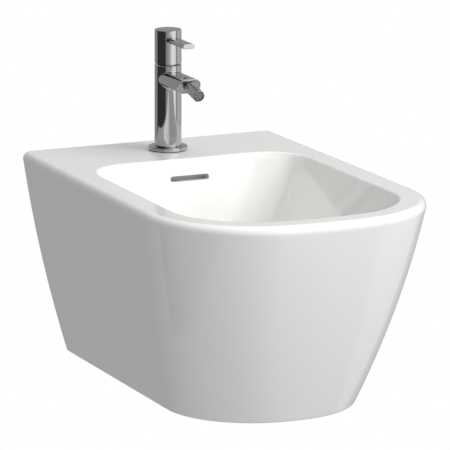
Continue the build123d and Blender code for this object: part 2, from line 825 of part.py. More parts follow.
with BuildPart() as handle:
    with BuildSketch(level(cap_foot, tap_from_wall)):
        Circle(column_radius)
    extrude(amount=cap_top - cap_foot)
    fillet(handle.edges().group_by(Axis.Z)[-1], cap_top_round)
    chamfer(handle.edges().group_by(Axis.Z)[0], seam_chamfer)
    add(lever.part)
    with BuildSketch(level(cap_foot, tap_from_wall)):
        Circle(cap_cavity_radius)
    extrude(amount=cavity_top - cap_foot, mode=Mode.SUBTRACT)
    with BuildSketch(level(cavity_top, tap_from_wall)):
        Rectangle(stem_side + running_clearance, stem_side + running_clearance)
    extrude(amount=stem_socket_depth, mode=Mode.SUBTRACT)
    with BuildSketch(tap_plane):
        with Locations((0, grub_screw_level)):
            Circle(grub_screw_radius)
    extrude(amount=-2 * column_radius, mode=Mode.SUBTRACT)
    with BuildSketch(Plane.YZ):
        with BuildLine():
            Polyline(
                (-tap_from_wall, cap_foot),
                (-tap_from_wall + 2 * column_radius, cap_foot),
                (
                    -tap_from_wall + 2 * column_radius,
                    cap_foot + 2 * column_radius * tan(radians(relief_angle)),
                ),
                close=True,
            )
        make_face()
    extrude(amount=2 * column_radius, both=True, mode=Mode.SUBTRACT)
handle.part.label = "handle"
export_step(handle.part, "parts/handle.step")

with BuildPart() as grub_screw:
    with BuildSketch(Plane.XZ.offset(tap_from_wall - stem_side / 2 - running_clearance)):
        with Locations((0, grub_screw_level)):
            Circle(grub_screw_radius)
    extrude(amount=-grub_screw_length)
    with BuildSketch(Plane.XZ.offset(tap_from_wall - stem_side / 2 - grub_screw_length)):
        with Locations((0, grub_screw_level)):
            RegularPolygon(grub_socket_flats / 2, hexagon, major_radius=False)
    extrude(amount=grub_socket_depth, mode=Mode.SUBTRACT)
grub_screw.part.label = "grub_screw"
export_step(grub_screw.part, "parts/grub_screw.step")


# Nozzle: seal, swivel ring, collar, ball-ended barrel and spray insert
def turned(points: list, arc: tuple = None) -> Part:
    """Solid turned about the nozzle's axis from points of radius and distance past the ball centre."""
    with BuildPart() as piece:
        with BuildSketch(nozzle_profile):
            with BuildLine():
                if arc:
                    ThreePointArc(*arc)
                    Polyline(arc[2], *points, arc[0])
                else:
                    Polyline(*points, close=True)
            make_face()
        revolve(axis=nozzle_axis)
    return piece.part


def on_ball(radius: float, distance: float) -> tuple:
    """Point on a sphere about the ball centre, at a distance along the nozzle's axis."""
    return (sqrt(radius**2 - distance**2), distance)


with BuildPart() as nozzle_swivel:
    add(
        turned(
            [
                (swivel_port_radius, -swivel_back),
                (swivel_radius, -swivel_back),
                (swivel_radius, swivel_front),
            ],
            (
                on_ball(seat_radius, swivel_front),
                on_ball(seat_radius, -swivel_back / 2),
                (swivel_port_radius, -sqrt(seat_radius**2 - swivel_port_radius**2)),
            ),
        )
    )
nozzle_swivel.part.label = "nozzle_swivel"
export_step(nozzle_swivel.part, "parts/nozzle_swivel.step")
bore_floor = ball_inset - nozzle_bore_depth
nozzle_seal_bore = swivel_radius - nozzle_seal_width
with BuildPart() as nozzle_seal:
    add(
        turned(
            [
                (nozzle_seal_bore, bore_floor),
                (swivel_radius, bore_floor),
                (swivel_radius, -swivel_back - rest_gap),
                (nozzle_seal_bore, -swivel_back - rest_gap),
            ]
        )
    )
nozzle_seal.part.label = "nozzle_seal"
export_step(nozzle_seal.part, "parts/nozzle_seal.step")
collar_mouth_radius = nozzle_bore_radius - collar_rim
with BuildPart() as nozzle_collar:
    add(
        turned(
            [
                (collar_mouth_radius, ball_inset),
                (nozzle_bore_radius, ball_inset),
                (nozzle_bore_radius, collar_back),
            ],
            (
                on_ball(seat_radius, collar_back),
                on_ball(seat_radius, (collar_back + collar_seat_end) / 2),
                on_ball(seat_radius, collar_seat_end),
            ),
        )
    )
nozzle_collar.part.label = "nozzle_collar"
export_step(nozzle_collar.part, "parts/nozzle_collar.step")

nozzle_water_radius = neck_radius - nozzle_neck_wall
insert_front = barrel_end - insert_recess
insert_back = insert_front - insert_thickness
with BuildPart() as nozzle:
    with Locations(ball_centre):
        Sphere(ball_radius)
    add(
        turned(
            [
                (0, 0),
                (neck_radius, 0),
                (neck_radius, barrel_start),
                (barrel_radius - barrel_chamfer, barrel_start),
                (barrel_radius, barrel_start + barrel_chamfer),
                (barrel_radius, barrel_end - barrel_end_chamfer),
                (barrel_radius - barrel_end_chamfer, barrel_end),
                (0, barrel_end),
            ]
        )
    )
    add(
        turned(
            [
                (0, -ball_radius),
                (nozzle_water_radius, -ball_radius),
                (nozzle_water_radius, insert_back - insert_chamber),
                (insert_radius - barrel_chamfer, insert_back - insert_chamber),
                (insert_radius - barrel_chamfer, insert_back),
                (insert_radius, insert_back),
                (insert_radius, barrel_end),
                (0, barrel_end),
            ]
        ),
        mode=Mode.SUBTRACT,
    )
nozzle.part.label = "nozzle"
export_step(nozzle.part, "parts/nozzle.step")

with BuildPart() as spray_insert:
    with BuildSketch(Plane(origin=ball_centre, z_dir=outlet_direction).offset(insert_back)):
        Circle(insert_radius)
        Circle(spray_hole_radius, mode=Mode.SUBTRACT)
        with PolarLocations(spray_outer_radius / 2, spray_inner_count):
            Circle(spray_hole_radius, mode=Mode.SUBTRACT)
        with PolarLocations(spray_outer_radius, spray_outer_count):
            Circle(spray_hole_radius, mode=Mode.SUBTRACT)
    extrude(amount=insert_thickness)
spray_insert.part.label = "spray_insert"
export_step(spray_insert.part, "parts/spray_insert.step")


# Waste: gaskets, slotted body, slip ring, back nut, tailpiece and push plug
def waste_ring(outer: float, inner: float, low: float, high: float) -> Part:
    """Plain ring about the drain axis."""
    return ring(outer, inner, low, high, drain_from_wall)


gasket_radius = waste_flange_radius - waste_gasket_inset
gasket_bore = waste_tube_radius + seat_clearance
with BuildPart() as flange_gasket:
    add(waste_ring(gasket_radius, gasket_bore, drain_seat, flange_foot))
flange_gasket.part.label = "flange_gasket"
export_step(flange_gasket.part, "parts/flange_gasket.step")

with BuildPart() as waste_body:
    add(waste_ring(waste_flange_radius, waste_bore_radius, flange_foot, flange_top))
    fillet(waste_body.edges().group_by(Axis.Z)[-1].sort_by(SortBy.LENGTH)[-1], waste_flange_round)
    add(waste_ring(waste_tube_radius, waste_bore_radius, tube_foot, flange_foot))
    with BuildSketch(drain_plane):
        with BuildLine():
            Polyline(
                (0, flange_top),
                (throat_radius, flange_top),
                (waste_bore_radius, flange_top - throat_depth),
                (0, flange_top - throat_depth),
                close=True,
            )
        make_face()
    revolve(axis=drain_axis, mode=Mode.SUBTRACT)
    with BuildSketch(drain_plane):
        with Locations((0, flange_top - waste_window_depth - waste_window_height / 2)):
            SlotOverall(waste_window_height, waste_window_width, rotation=90)
    extrude(amount=2 * waste_tube_radius, both=True, mode=Mode.SUBTRACT)
waste_body.part.label = "waste_body"
export_step(waste_body.part, "parts/waste_body.step")

with BuildPart() as cone_gasket:
    with BuildSketch(drain_plane):
        with BuildLine():
            Polyline(
                (gasket_bore, cone_foot),
                (cone_gasket_radius, cone_foot),
                (cone_gasket_radius, boss_foot),
                (boss_bore_radius - seat_clearance, boss_foot),
                (gasket_bore, boss_foot + cone_gasket_rise),
                close=True,
            )
        make_face()
    revolve(axis=drain_axis)
cone_gasket.part.label = "cone_gasket"
export_step(cone_gasket.part, "parts/cone_gasket.step")
with BuildPart() as slip_ring:
    add(waste_ring(cone_gasket_radius, gasket_bore, slip_foot, cone_foot))
slip_ring.part.label = "slip_ring"
export_step(slip_ring.part, "parts/slip_ring.step")

with BuildPart() as back_nut:
    with BuildSketch(level(slip_foot, drain_from_wall)):
        RegularPolygon(waste_tube_radius + back_nut_wall, octagon, major_radius=False)
        Circle(waste_tube_radius, mode=Mode.SUBTRACT)
    extrude(amount=-back_nut_height)
back_nut.part.label = "back_nut"
export_step(back_nut.part, "parts/back_nut.step")

tail_collar_top = tube_foot - tail_seal_thickness
tail_collar_foot = tail_collar_top - tail_collar_height
with BuildPart() as tail_seal:
    add(waste_ring(waste_tube_radius, waste_bore_radius, tail_collar_top, tube_foot))
tail_seal.part.label = "tail_seal"
export_step(tail_seal.part, "parts/tail_seal.step")

with BuildPart() as tailpiece:
    add(waste_ring(waste_bore_radius, tail_bore_radius, tail_collar_top, tube_foot + tail_spigot_length))
    with BuildSketch(level(tail_collar_foot, drain_from_wall)):
        RegularPolygon(waste_tube_radius + tail_collar_lap, hexagon, major_radius=False)
        Circle(tail_bore_radius, mode=Mode.SUBTRACT)
    extrude(amount=tail_collar_height)
    add(waste_ring(tail_radius, tail_bore_radius, tail_collar_foot - tail_length, tail_collar_foot))
tailpiece.part.label = "tailpiece"
export_step(tailpiece.part, "parts/tailpiece.step")

guide_top = flange_top - guide_below_flange
guide_foot = guide_top - guide_length
with BuildPart() as plug_guide:
    add(waste_ring(guide_radius, plug_stem_radius + running_clearance, guide_foot, guide_top))
    spider_outer = waste_bore_radius
    spider_inner = spider_outer - spider_ring_thickness
    add(waste_ring(spider_outer, spider_inner, guide_foot, guide_foot + spider_height))
    with BuildSketch(level(guide_foot, drain_from_wall)):
        with PolarLocations((guide_radius + spider_inner) / 2, spider_count, start_angle=90):
            Rectangle(spider_inner - guide_radius + spider_ring_thickness, spider_thickness)
    extrude(amount=spider_height)
plug_guide.part.label = "plug_guide"
export_step(plug_guide.part, "parts/plug_guide.step")

plug_foot = flange_top + plug_lift
plug_top = plug_foot + plug_thickness
hub_foot = plug_foot - plug_hub_height
with BuildPart() as plug:
    with BuildSketch(drain_plane) as plug_profile:
        with BuildLine():
            TangentArc((0, plug_top + plug_crown), (plug_radius, plug_top), tangent=(1, 0))
            Polyline(
                (plug_radius, plug_top),
                (plug_radius, plug_foot),
                (0, plug_foot),
                (0, plug_top + plug_crown),
            )
        make_face()
        rim_corners = plug_profile.vertices().group_by(Axis.X)[-1]
        fillet(rim_corners.sort_by(Axis.Y)[-1], plug_edge_round)
    revolve(axis=drain_axis)
    add(waste_ring(plug_hub_radius, 0, hub_foot, plug_foot))
    with BuildSketch(drain_plane):
        with Locations((plug_seal_radius, hub_foot + plug_hub_height / 2)):
            Circle(plug_seal_section)
    revolve(axis=drain_axis, mode=Mode.SUBTRACT)
plug.part.label = "plug"
export_step(plug.part, "parts/plug.step")

with BuildPart() as plug_seal:
    with BuildSketch(drain_plane):
        with Locations((plug_seal_radius, hub_foot + plug_hub_height / 2)):
            Circle(plug_seal_section)
    revolve(axis=drain_axis)
plug_seal.part.label = "plug_seal"
export_step(plug_seal.part, "parts/plug_seal.step")

stem_foot = guide_foot - clip_thickness - rest_gap - stem_tip
with BuildPart() as plug_stem:
    add(waste_ring(plug_stem_radius, 0, stem_foot, hub_foot))
plug_stem.part.label = "plug_stem"
export_step(plug_stem.part, "parts/plug_stem.step")
clip_top = guide_foot - rest_gap
with BuildPart() as stem_clip:
    add(waste_ring(plug_stem_radius + clip_rim, plug_stem_radius, clip_top - clip_thickness, clip_top))
stem_clip.part.label = "stem_clip"
export_step(stem_clip.part, "parts/stem_clip.step")

spring_foot = guide_top + spring_wire_radius + rest_gap
spring_rise = hub_foot - guide_top - 2 * spring_wire_radius - 2 * rest_gap
with BuildPart() as plug_spring:
    with BuildLine(level(spring_foot, drain_from_wall)) as coil:
        Helix(pitch=spring_rise / spring_turns, height=spring_rise, radius=spring_mean_radius)
    with BuildSketch(Plane(origin=coil.line @ 0, z_dir=coil.line % 0)):
        Circle(spring_wire_radius)
    sweep()
plug_spring.part.label = "plug_spring"
export_step(plug_spring.part, "parts/plug_spring.step")
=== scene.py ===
"""Looks of the wall-hung bidet: glazed body, plated tap and nozzle, waste and fixings.

Sizes are in millimetres in the part's frame; MM turns them to Blender's metres.
"""

import json
import logging
from dataclasses import dataclass, field
from enum import Enum
from math import asin, atan2, cos, degrees, pi, radians, sin, sqrt, tan
from typing import Callable, Sequence

import bmesh
import bpy
import numpy as np
from mathutils import Matrix, Vector

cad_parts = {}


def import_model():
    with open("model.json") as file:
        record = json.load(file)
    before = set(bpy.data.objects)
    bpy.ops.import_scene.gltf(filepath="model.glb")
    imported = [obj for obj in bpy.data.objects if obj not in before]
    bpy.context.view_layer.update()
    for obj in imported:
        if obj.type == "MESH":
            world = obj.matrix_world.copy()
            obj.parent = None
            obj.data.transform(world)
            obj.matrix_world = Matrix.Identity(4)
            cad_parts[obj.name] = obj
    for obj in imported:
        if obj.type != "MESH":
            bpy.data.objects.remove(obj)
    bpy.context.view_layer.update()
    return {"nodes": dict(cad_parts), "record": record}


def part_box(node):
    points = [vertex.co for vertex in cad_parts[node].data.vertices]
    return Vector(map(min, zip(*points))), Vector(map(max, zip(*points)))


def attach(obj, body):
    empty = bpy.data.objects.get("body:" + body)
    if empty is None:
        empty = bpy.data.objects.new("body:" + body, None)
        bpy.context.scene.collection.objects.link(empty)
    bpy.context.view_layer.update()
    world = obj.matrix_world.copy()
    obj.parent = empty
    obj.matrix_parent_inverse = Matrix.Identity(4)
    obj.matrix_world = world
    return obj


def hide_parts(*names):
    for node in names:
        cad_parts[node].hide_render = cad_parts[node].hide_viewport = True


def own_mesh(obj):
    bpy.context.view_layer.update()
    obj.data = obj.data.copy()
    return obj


MM = 0.001
Triple = tuple[float, float, float]
Size = tuple[float, float]
SMOOTH_ANGLE = radians(32)
log = logging.getLogger("bidet")


def linear(code: str) -> tuple[float, float, float, float]:
    """Turn an sRGB hex colour to linear.

    Args:
        code: Six hex digits after a hash sign.

    Returns:
        Linear red, green and blue, with an alpha of one.
    """
    shares = [int(code[i : i + 2], 16) / 255 for i in (1, 3, 5)]
    red, green, blue = (s / 12.92 if s <= 0.04045 else ((s + 0.055) / 1.055) ** 2.4 for s in shares)
    return red, green, blue, 1.0


def add_node(
    tree: bpy.types.NodeTree, kind: str, settings: dict | None = None, links: dict | None = None
) -> bpy.types.Node:
    """Add a node with its settings and links.

    Args:
        tree: Node tree that the node joins.
        kind: Blender's name for the kind of node.
        settings: Values for the node's own properties, or for its input sockets by name or number.
        links: Output sockets that feed the node's inputs, by name or number.

    Returns:
        The new node.
    """
    node = tree.nodes.new(kind)
    for key, value in (settings or {}).items():
        if isinstance(key, str) and hasattr(node, key):
            setattr(node, key, value)
        else:
            node.inputs[key].default_value = value
    for key, source in (links or {}).items():
        tree.links.new(source, node.inputs[key])
    return node


class Surface(Enum):
    """How a surface was made."""

    GLAZED = "glazed"
    PLATED = "plated"
    TURNED = "turned"
    MOULDED = "moulded"
    LAPPED = "lapped"


@dataclass(frozen=True)
class Finish:
    """A material of the object, from its colour and the way its surface was made."""

    name: str
    surface: Surface
    colour: str
    roughness: float
    metallic: float = 0.0
    ior: float = 1.5
    grain: float = 1.0
    relief: float = 0.02
    tint: str = ""
    coat: float = 0.0

    def dress(self) -> bpy.types.Material:
        """Build the node material, or return it if it exists.

        Returns:
            The material.
        """
        made = bpy.data.materials.get(self.name)
        if made:
            return made
        material = bpy.data.materials.new(self.name)
        material.use_nodes = True
        tree = material.node_tree
        tree.nodes.clear()
        place = add_node(tree, "ShaderNodeTexCoord").outputs["Object"]
        grain = self.pattern(tree, place)
        low = add_node(
            tree,
            "ShaderNodeMapRange",
            {1: 0.3, 2: 0.7, 3: self.roughness * 0.8, 4: self.roughness * 1.2},
            {0: grain},
        )
        wave = {"Scale": 1 / (90 * MM), "Detail": 2.0}
        cloud = add_node(tree, "ShaderNodeTexNoise", wave, {"Vector": place})
        colour = add_node(tree, "ShaderNodeMix", {"data_type": "RGBA"}, {0: cloud.outputs["Fac"]})
        colour.inputs[6].default_value = linear(self.colour)
        colour.inputs[7].default_value = linear(self.tint or self.colour)
        bump = add_node(
            tree,
            "ShaderNodeBump",
            {"Strength": 1.0, "Distance": self.relief * MM},
            {"Height": grain},
        )
        settings = {"Metallic": self.metallic, "Coat Weight": self.coat, "Coat Roughness": 0.03}
        if not self.metallic:
            settings["IOR"] = self.ior
        shader = add_node(
            tree,
            "ShaderNodeBsdfPrincipled",
            settings,
            {"Base Color": colour.outputs[2], "Roughness": low.outputs[0], "Normal": bump.outputs["Normal"]},
        )
        add_node(tree, "ShaderNodeOutputMaterial", {}, {"Surface": shader.outputs["BSDF"]})
        return material

    def pattern(self, tree: bpy.types.NodeTree, place: bpy.types.NodeSocket) -> bpy.types.NodeSocket:
        """Lay out the surface's fine pattern.

        Args:
            tree: Material's node tree.
            place: Object coordinates in metres.

        Returns:
            Socket with the pattern's height from nought to one.
        """
        if self.surface is Surface.TURNED:
            stretched = add_node(tree, "ShaderNodeMapping", {"Scale": (1.0, 1.0, 12.0)}, {"Vector": place})
            place = stretched.outputs["Vector"]
        detail = 4.0 if self.surface is Surface.MOULDED else 1.5
        noise = add_node(
            tree,
            "ShaderNodeTexNoise",
            {"Scale": 1 / (self.grain * MM), "Detail": detail, "Roughness": 0.5},
            {"Vector": place},
        )
        return noise.outputs["Fac"]


# Vitreous china under a clear gloss glaze: near white and mirror-smooth,
# with a faint long wave from the glaze's flow
CHINA = Finish(
    "glazed_vitreous_china", Surface.GLAZED, "#E8E8E6", 0.10,
    ior=1.5, grain=26.0, relief=0.05, tint="#E6E6E4", coat=0.3,
)
# Brass plated with nickel and chrome, then polished: a dark mirror with hardly any grain
CHROME = Finish(
    "chrome_plated_brass", Surface.PLATED, "#B9BABB", 0.05,
    metallic=1.0, grain=14.0, relief=0.006,
)
# Bare turned brass of the hidden rings and nuts
BRASS = Finish(
    "turned_brass", Surface.TURNED, "#C9A25C", 0.26,
    metallic=1.0, grain=1.2, relief=0.01, tint="#BE9750",
)
# Zinc-plated steel washers, nuts and stud
STEEL = Finish(
    "zinc_plated_steel", Surface.TURNED, "#A9AAAC", 0.30,
    metallic=1.0, grain=0.9, relief=0.01, tint="#9C9DA0",
)
# EPDM rubber seals: black and matt with a fine moulded tooth
RUBBER = Finish(
    "moulded_epdm_rubber", Surface.MOULDED, "#161616", 0.62,
    ior=1.52, grain=0.5, relief=0.02, tint="#1C1C1B",
)
# Polypropylene sleeves and guide: milky white with a soft shine
WHITE_PLASTIC = Finish(
    "moulded_polypropylene", Surface.MOULDED, "#E6E6E0", 0.38,
    ior=1.49, grain=0.8, relief=0.015, tint="#DEDED8",
)
# Acetal of the cartridge and the spray insert: near black with a dull shine
BLACK_PLASTIC = Finish(
    "moulded_acetal", Surface.MOULDED, "#2A2B29", 0.42,
    ior=1.48, grain=0.6, relief=0.015, tint="#333432",
)
# Lapped alumina discs of the cartridge
ALUMINA = Finish("lapped_alumina", Surface.LAPPED, "#E9E6DF", 0.18, ior=1.76, grain=0.7, relief=0.004)

SLOT_FINISH = {
    "glazed_ceramic": CHINA,
    "chrome": CHROME,
    "brass": BRASS,
    "steel": STEEL,
    "rubber": RUBBER,
    "white_plastic": WHITE_PLASTIC,
    "black_plastic": BLACK_PLASTIC,
    "technical_ceramic": ALUMINA,
}


def only(piece: bpy.types.Object) -> None:
    """Select one object and make it the active one."""
    bpy.ops.object.select_all(action="DESELECT")
    piece.select_set(True)
    bpy.context.view_layer.objects.active = piece


def settle(piece: bpy.types.Object, name: str) -> bpy.types.Object:
    """Name a piece, put its place into its mesh and shade it.

    Args:
        piece: Finished mesh object.
        name: Name for the object and its mesh.

    Returns:
        The same object.
    """
    only(piece)
    bpy.ops.object.transform_apply(location=True, rotation=True, scale=True)
    bpy.ops.object.shade_smooth_by_angle(angle=SMOOTH_ANGLE)
    piece.name = name
    piece.data.name = name
    return piece


def hand_over(piece: bpy.types.Object, body: str, slot: str, *nodes: str) -> None:
    """Dress a piece, let it ride on its body and let it stand for its CAD nodes.

    Args:
        piece: Finished mesh object at the origin.
        body: CAD body that the piece moves with.
        slot: Material slot of the record.
        nodes: CAD nodes that the piece stands for.
    """
    piece.data.materials.clear()
    piece.data.materials.append(SLOT_FINISH[slot].dress())
    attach(piece, body)
    if nodes:
        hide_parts(*nodes)
    log.info("%s: %d faces", piece.name, len(piece.data.polygons))


def edit(piece: bpy.types.Object, mode: str = "VERT") -> None:
    """Enter edit mode on one object with nothing selected.

    Args:
        piece: Object to edit.
        mode: Kind of element to select.
    """
    only(piece)
    bpy.ops.object.mode_set(mode="EDIT")
    bpy.ops.mesh.select_mode(type=mode)
    bpy.ops.mesh.select_all(action="DESELECT")


def leave() -> None:
    """Leave edit mode."""
    bpy.ops.object.mode_set(mode="OBJECT")


def pick(piece: bpy.types.Object, part: str, test: Callable[[Vector], bool]) -> int:
    """Select parts of a mesh in edit mode by their middle.

    Args:
        piece: Object in edit mode.
        part: Either verts, edges or faces.
        test: Says from a middle point in millimetres whether the part is wanted.

    Returns:
        How many parts were selected.
    """
    mesh = bmesh.from_edit_mesh(piece.data)
    count = 0
    for element in getattr(mesh, part):
        if part == "verts":
            ends = [element.co]
        else:
            ends = [v.co for v in element.verts]
        if all(test(piece.matrix_world @ end / MM) for end in ends):
            element.select_set(True)
            count += 1
    mesh.select_flush_mode()
    bmesh.update_edit_mesh(piece.data)
    return count


def combine(piece: bpy.types.Object, others: Sequence[bpy.types.Object], operation: str) -> bpy.types.Object:
    """Join or cut a mesh with others, which are used up.

    Args:
        piece: Mesh that stays.
        others: Closed meshes that are joined to it or cut from it.
        operation: UNION or DIFFERENCE.

    Returns:
        The changed piece.
    """
    for other in others:
        modifier = piece.modifiers.new("combine", "BOOLEAN")
        modifier.operation = operation
        modifier.solver = "EXACT"
        modifier.object = other
        only(piece)
        bpy.ops.object.modifier_apply(modifier=modifier.name)
        bpy.data.objects.remove(other)
    return piece


def turned(
    profile: Sequence[tuple[float, float]],
    centre: Sequence[float] = (0.0, 0.0, 0.0),
    axis: Sequence[float] = (0.0, 0.0, 1.0),
    sides: int = 96,
    closed: bool = True,
) -> bpy.types.Object:
    """Turn a profile about an axis, ring by ring, from a circle that is extruded and resized.

    Args:
        profile: Points of radius and distance along the axis; a radius of nought makes a pole.
        centre: Where distance nought lies.
        axis: Direction of the axis.
        sides: Number of vertices round.
        closed: Whether the last ring joins the first, as round a bore.

    Returns:
        The turned object.
    """
    tiny = 0.002
    radii = [max(r, tiny) for r, _ in profile]
    bpy.ops.object.select_all(action="DESELECT")
    bpy.ops.mesh.primitive_circle_add(vertices=sides, radius=radii[0] * MM, location=(0, 0, 0))
    piece = bpy.context.object
    bpy.ops.object.mode_set(mode="EDIT")
    bpy.ops.mesh.select_all(action="SELECT")
    bpy.ops.transform.translate(value=(0, 0, profile[0][1] * MM))
    for last, now, (_, low), (_, high) in zip(radii, radii[1:], profile, profile[1:]):
        bpy.ops.mesh.extrude_edges_move()
        step = now / last
        middle = (0, 0, low * MM)
        bpy.ops.transform.resize(value=(step, step, 1), center_override=middle)
        bpy.ops.transform.translate(value=(0, 0, (high - low) * MM))
    if closed:
        bpy.ops.mesh.select_all(action="DESELECT")
        bpy.ops.mesh.select_mode(type="EDGE")
        bpy.ops.mesh.select_non_manifold()
        bpy.ops.mesh.bridge_edge_loops()
    bpy.ops.mesh.select_mode(type="VERT")
    bpy.ops.mesh.select_all(action="SELECT")
    bpy.ops.mesh.remove_doubles(threshold=2 * tiny * MM)
    bpy.ops.mesh.normals_make_consistent(inside=False)
    leave()
    turn = Vector((0, 0, 1)).rotation_difference(Vector(axis))
    piece.matrix_world = Matrix.Translation(Vector(centre) * MM) @ turn.to_matrix().to_4x4()
    only(piece)
    bpy.ops.object.transform_apply(location=True, rotation=True, scale=True)
    return piece


def arc(
    centre: tuple[float, float], radius: float, start: float, end: float, steps: int = 6
) -> list[tuple[float, float]]:
    """Points on an arc of a profile, with angles in degrees from the outward direction.

    Args:
        centre: Middle of the arc.
        radius: Radius of the arc.
        start: Angle of its first point.
        end: Angle of its last point.
        steps: Number of straight runs.

    Returns:
        Pairs of radius and level.
    """
    turns = [radians(start + (end - start) * i / steps) for i in range(steps + 1)]
    return [(centre[0] + radius * cos(t), centre[1] + radius * sin(t)) for t in turns]


def ring_profile(
    outer: float, inner: float, low: float, high: float, edge: float = 0.3
) -> list[tuple[float, float]]:
    """Profile of a flat ring with small rounds on its outer edges.

    Args:
        outer: Radius of the ring's outside.
        inner: Radius of its hole.
        low: Level of its foot.
        high: Level of its top.
        edge: Radius of the rounds.

    Returns:
        Pairs of radius and level.
    """
    return [
        (inner, low),
        *arc((outer - edge, low + edge), edge, -90, 0, 3),
        *arc((outer - edge, high - edge), edge, 0, 90, 3),
        (inner, high),
    ]


def wrap(name: str, rings: Sequence[np.ndarray], capped: bool = True) -> bpy.types.Object:
    """Wrap a grid round a walk of rings and close its seam.

    Args:
        name: Name of the object.
        rings: Arrays of x, y and z in millimetres with the same number of rows.
        capped: Whether both ends are closed too.

    Returns:
        The wrapped mesh.
    """
    count = len(rings[0])
    bpy.ops.object.select_all(action="DESELECT")
    bpy.ops.mesh.primitive_grid_add(x_subdivisions=count, y_subdivisions=len(rings) - 1, size=1)
    piece = bpy.context.object
    piece.name = name
    walk = np.stack([np.vstack([ring, ring[:1]]) for ring in rings])
    piece.data.vertices.foreach_set("co", (walk * MM).astype(np.float32).ravel())
    piece.data.update()
    edit(piece)
    bpy.ops.mesh.select_all(action="SELECT")
    bpy.ops.mesh.remove_doubles(threshold=0.002 * MM)
    if capped:
        bpy.ops.mesh.select_all(action="DESELECT")
        bpy.ops.mesh.select_mode(type="EDGE")
        bpy.ops.mesh.select_non_manifold()
        bpy.ops.mesh.edge_face_add()
    bpy.ops.mesh.select_all(action="SELECT")
    bpy.ops.mesh.normals_make_consistent(inside=False)
    leave()
    return piece


def cylinder(
    radius: float,
    low: float,
    high: float,
    centre: Sequence[float] = (0.0, 0.0, 0.0),
    axis: Sequence[float] = (0.0, 0.0, 1.0),
    sides: int = 64,
) -> bpy.types.Object:
    """Make a plain cylinder, mostly for cutting, between two distances along an axis.

    Args:
        radius: Radius in millimetres.
        low: Distance of one end along the axis.
        high: Distance of the other end.
        centre: Where distance nought lies.
        axis: Direction of the axis.
        sides: Number of sides round it.

    Returns:
        A closed mesh.
    """
    way = Vector(axis).normalized()
    middle = (Vector(centre) + way * (low + high) / 2) * MM
    bpy.ops.object.select_all(action="DESELECT")
    bpy.ops.mesh.primitive_cylinder_add(vertices=sides, radius=radius * MM, depth=(high - low) * MM)
    piece = bpy.context.object
    turn = Vector((0, 0, 1)).rotation_difference(way).to_matrix().to_4x4()
    piece.matrix_world = Matrix.Translation(middle) @ turn
    return piece


def prism(corners: Sequence[Sequence[float]], run: Sequence[float]) -> bpy.types.Object:
    """Make a straight prism from the corners of one end and the run to the other end.

    Args:
        corners: Points of x, y and z in turn.
        run: Vector from one end to the other.

    Returns:
        A closed mesh.
    """
    bpy.ops.object.select_all(action="DESELECT")
    bpy.ops.mesh.primitive_circle_add(vertices=len(corners), radius=1, fill_type="NGON")
    piece = bpy.context.object
    for vertex, corner in zip(piece.data.vertices, corners):
        vertex.co = Vector(corner) * MM
    edit(piece)
    bpy.ops.mesh.select_all(action="SELECT")
    bpy.ops.mesh.extrude_region_move(TRANSFORM_OT_translate={"value": tuple(Vector(run) * MM)})
    bpy.ops.mesh.select_all(action="SELECT")
    bpy.ops.mesh.normals_make_consistent(inside=False)
    leave()
    return piece


def merge(piece: bpy.types.Object, *others: bpy.types.Object) -> bpy.types.Object:
    """Put meshes that touch but needn't be fused into one object.

    Args:
        piece: Mesh that takes in the others.
        others: Meshes that end up in it.

    Returns:
        The first mesh.
    """
    only(piece)
    for other in others:
        other.select_set(True)
    bpy.ops.object.join()
    return piece


def polygon(
    flats: float, sides: int, centre: Sequence[float], low: float, high: float, axis: Sequence[float]
) -> bpy.types.Object:
    """Make a nut's blank: a straight prism with flats, its corners turned down to a cone at both ends.

    Args:
        flats: Distance across the flats.
        sides: Number of flats.
        centre: Where distance nought lies.
        low: Distance of one end along the axis.
        high: Distance of the other end.
        axis: Direction of the axis.

    Returns:
        A closed mesh.
    """
    corner = flats / 2 / cos(pi / sides)
    blank = cylinder(corner, low, high, centre, axis, sides)
    only(blank)
    bpy.ops.object.transform_apply(location=True, rotation=True, scale=True)
    slope, spare = 0.55, 0.4
    drop = (corner - flats / 2) * slope
    land, wide = flats / 2 * 0.97, corner + spare
    cone = [
        (0, low),
        (land, low),
        (wide, low + drop + spare),
        (wide, high - drop - spare),
        (land, high),
        (0, high),
    ]
    keep = turned(cone, centre, axis, closed=False)
    modifier = blank.modifiers.new("turn_down", "BOOLEAN")
    modifier.operation = "INTERSECT"
    modifier.solver = "EXACT"
    modifier.object = keep
    only(blank)
    bpy.ops.object.modifier_apply(modifier=modifier.name)
    bpy.data.objects.remove(keep)
    return blank


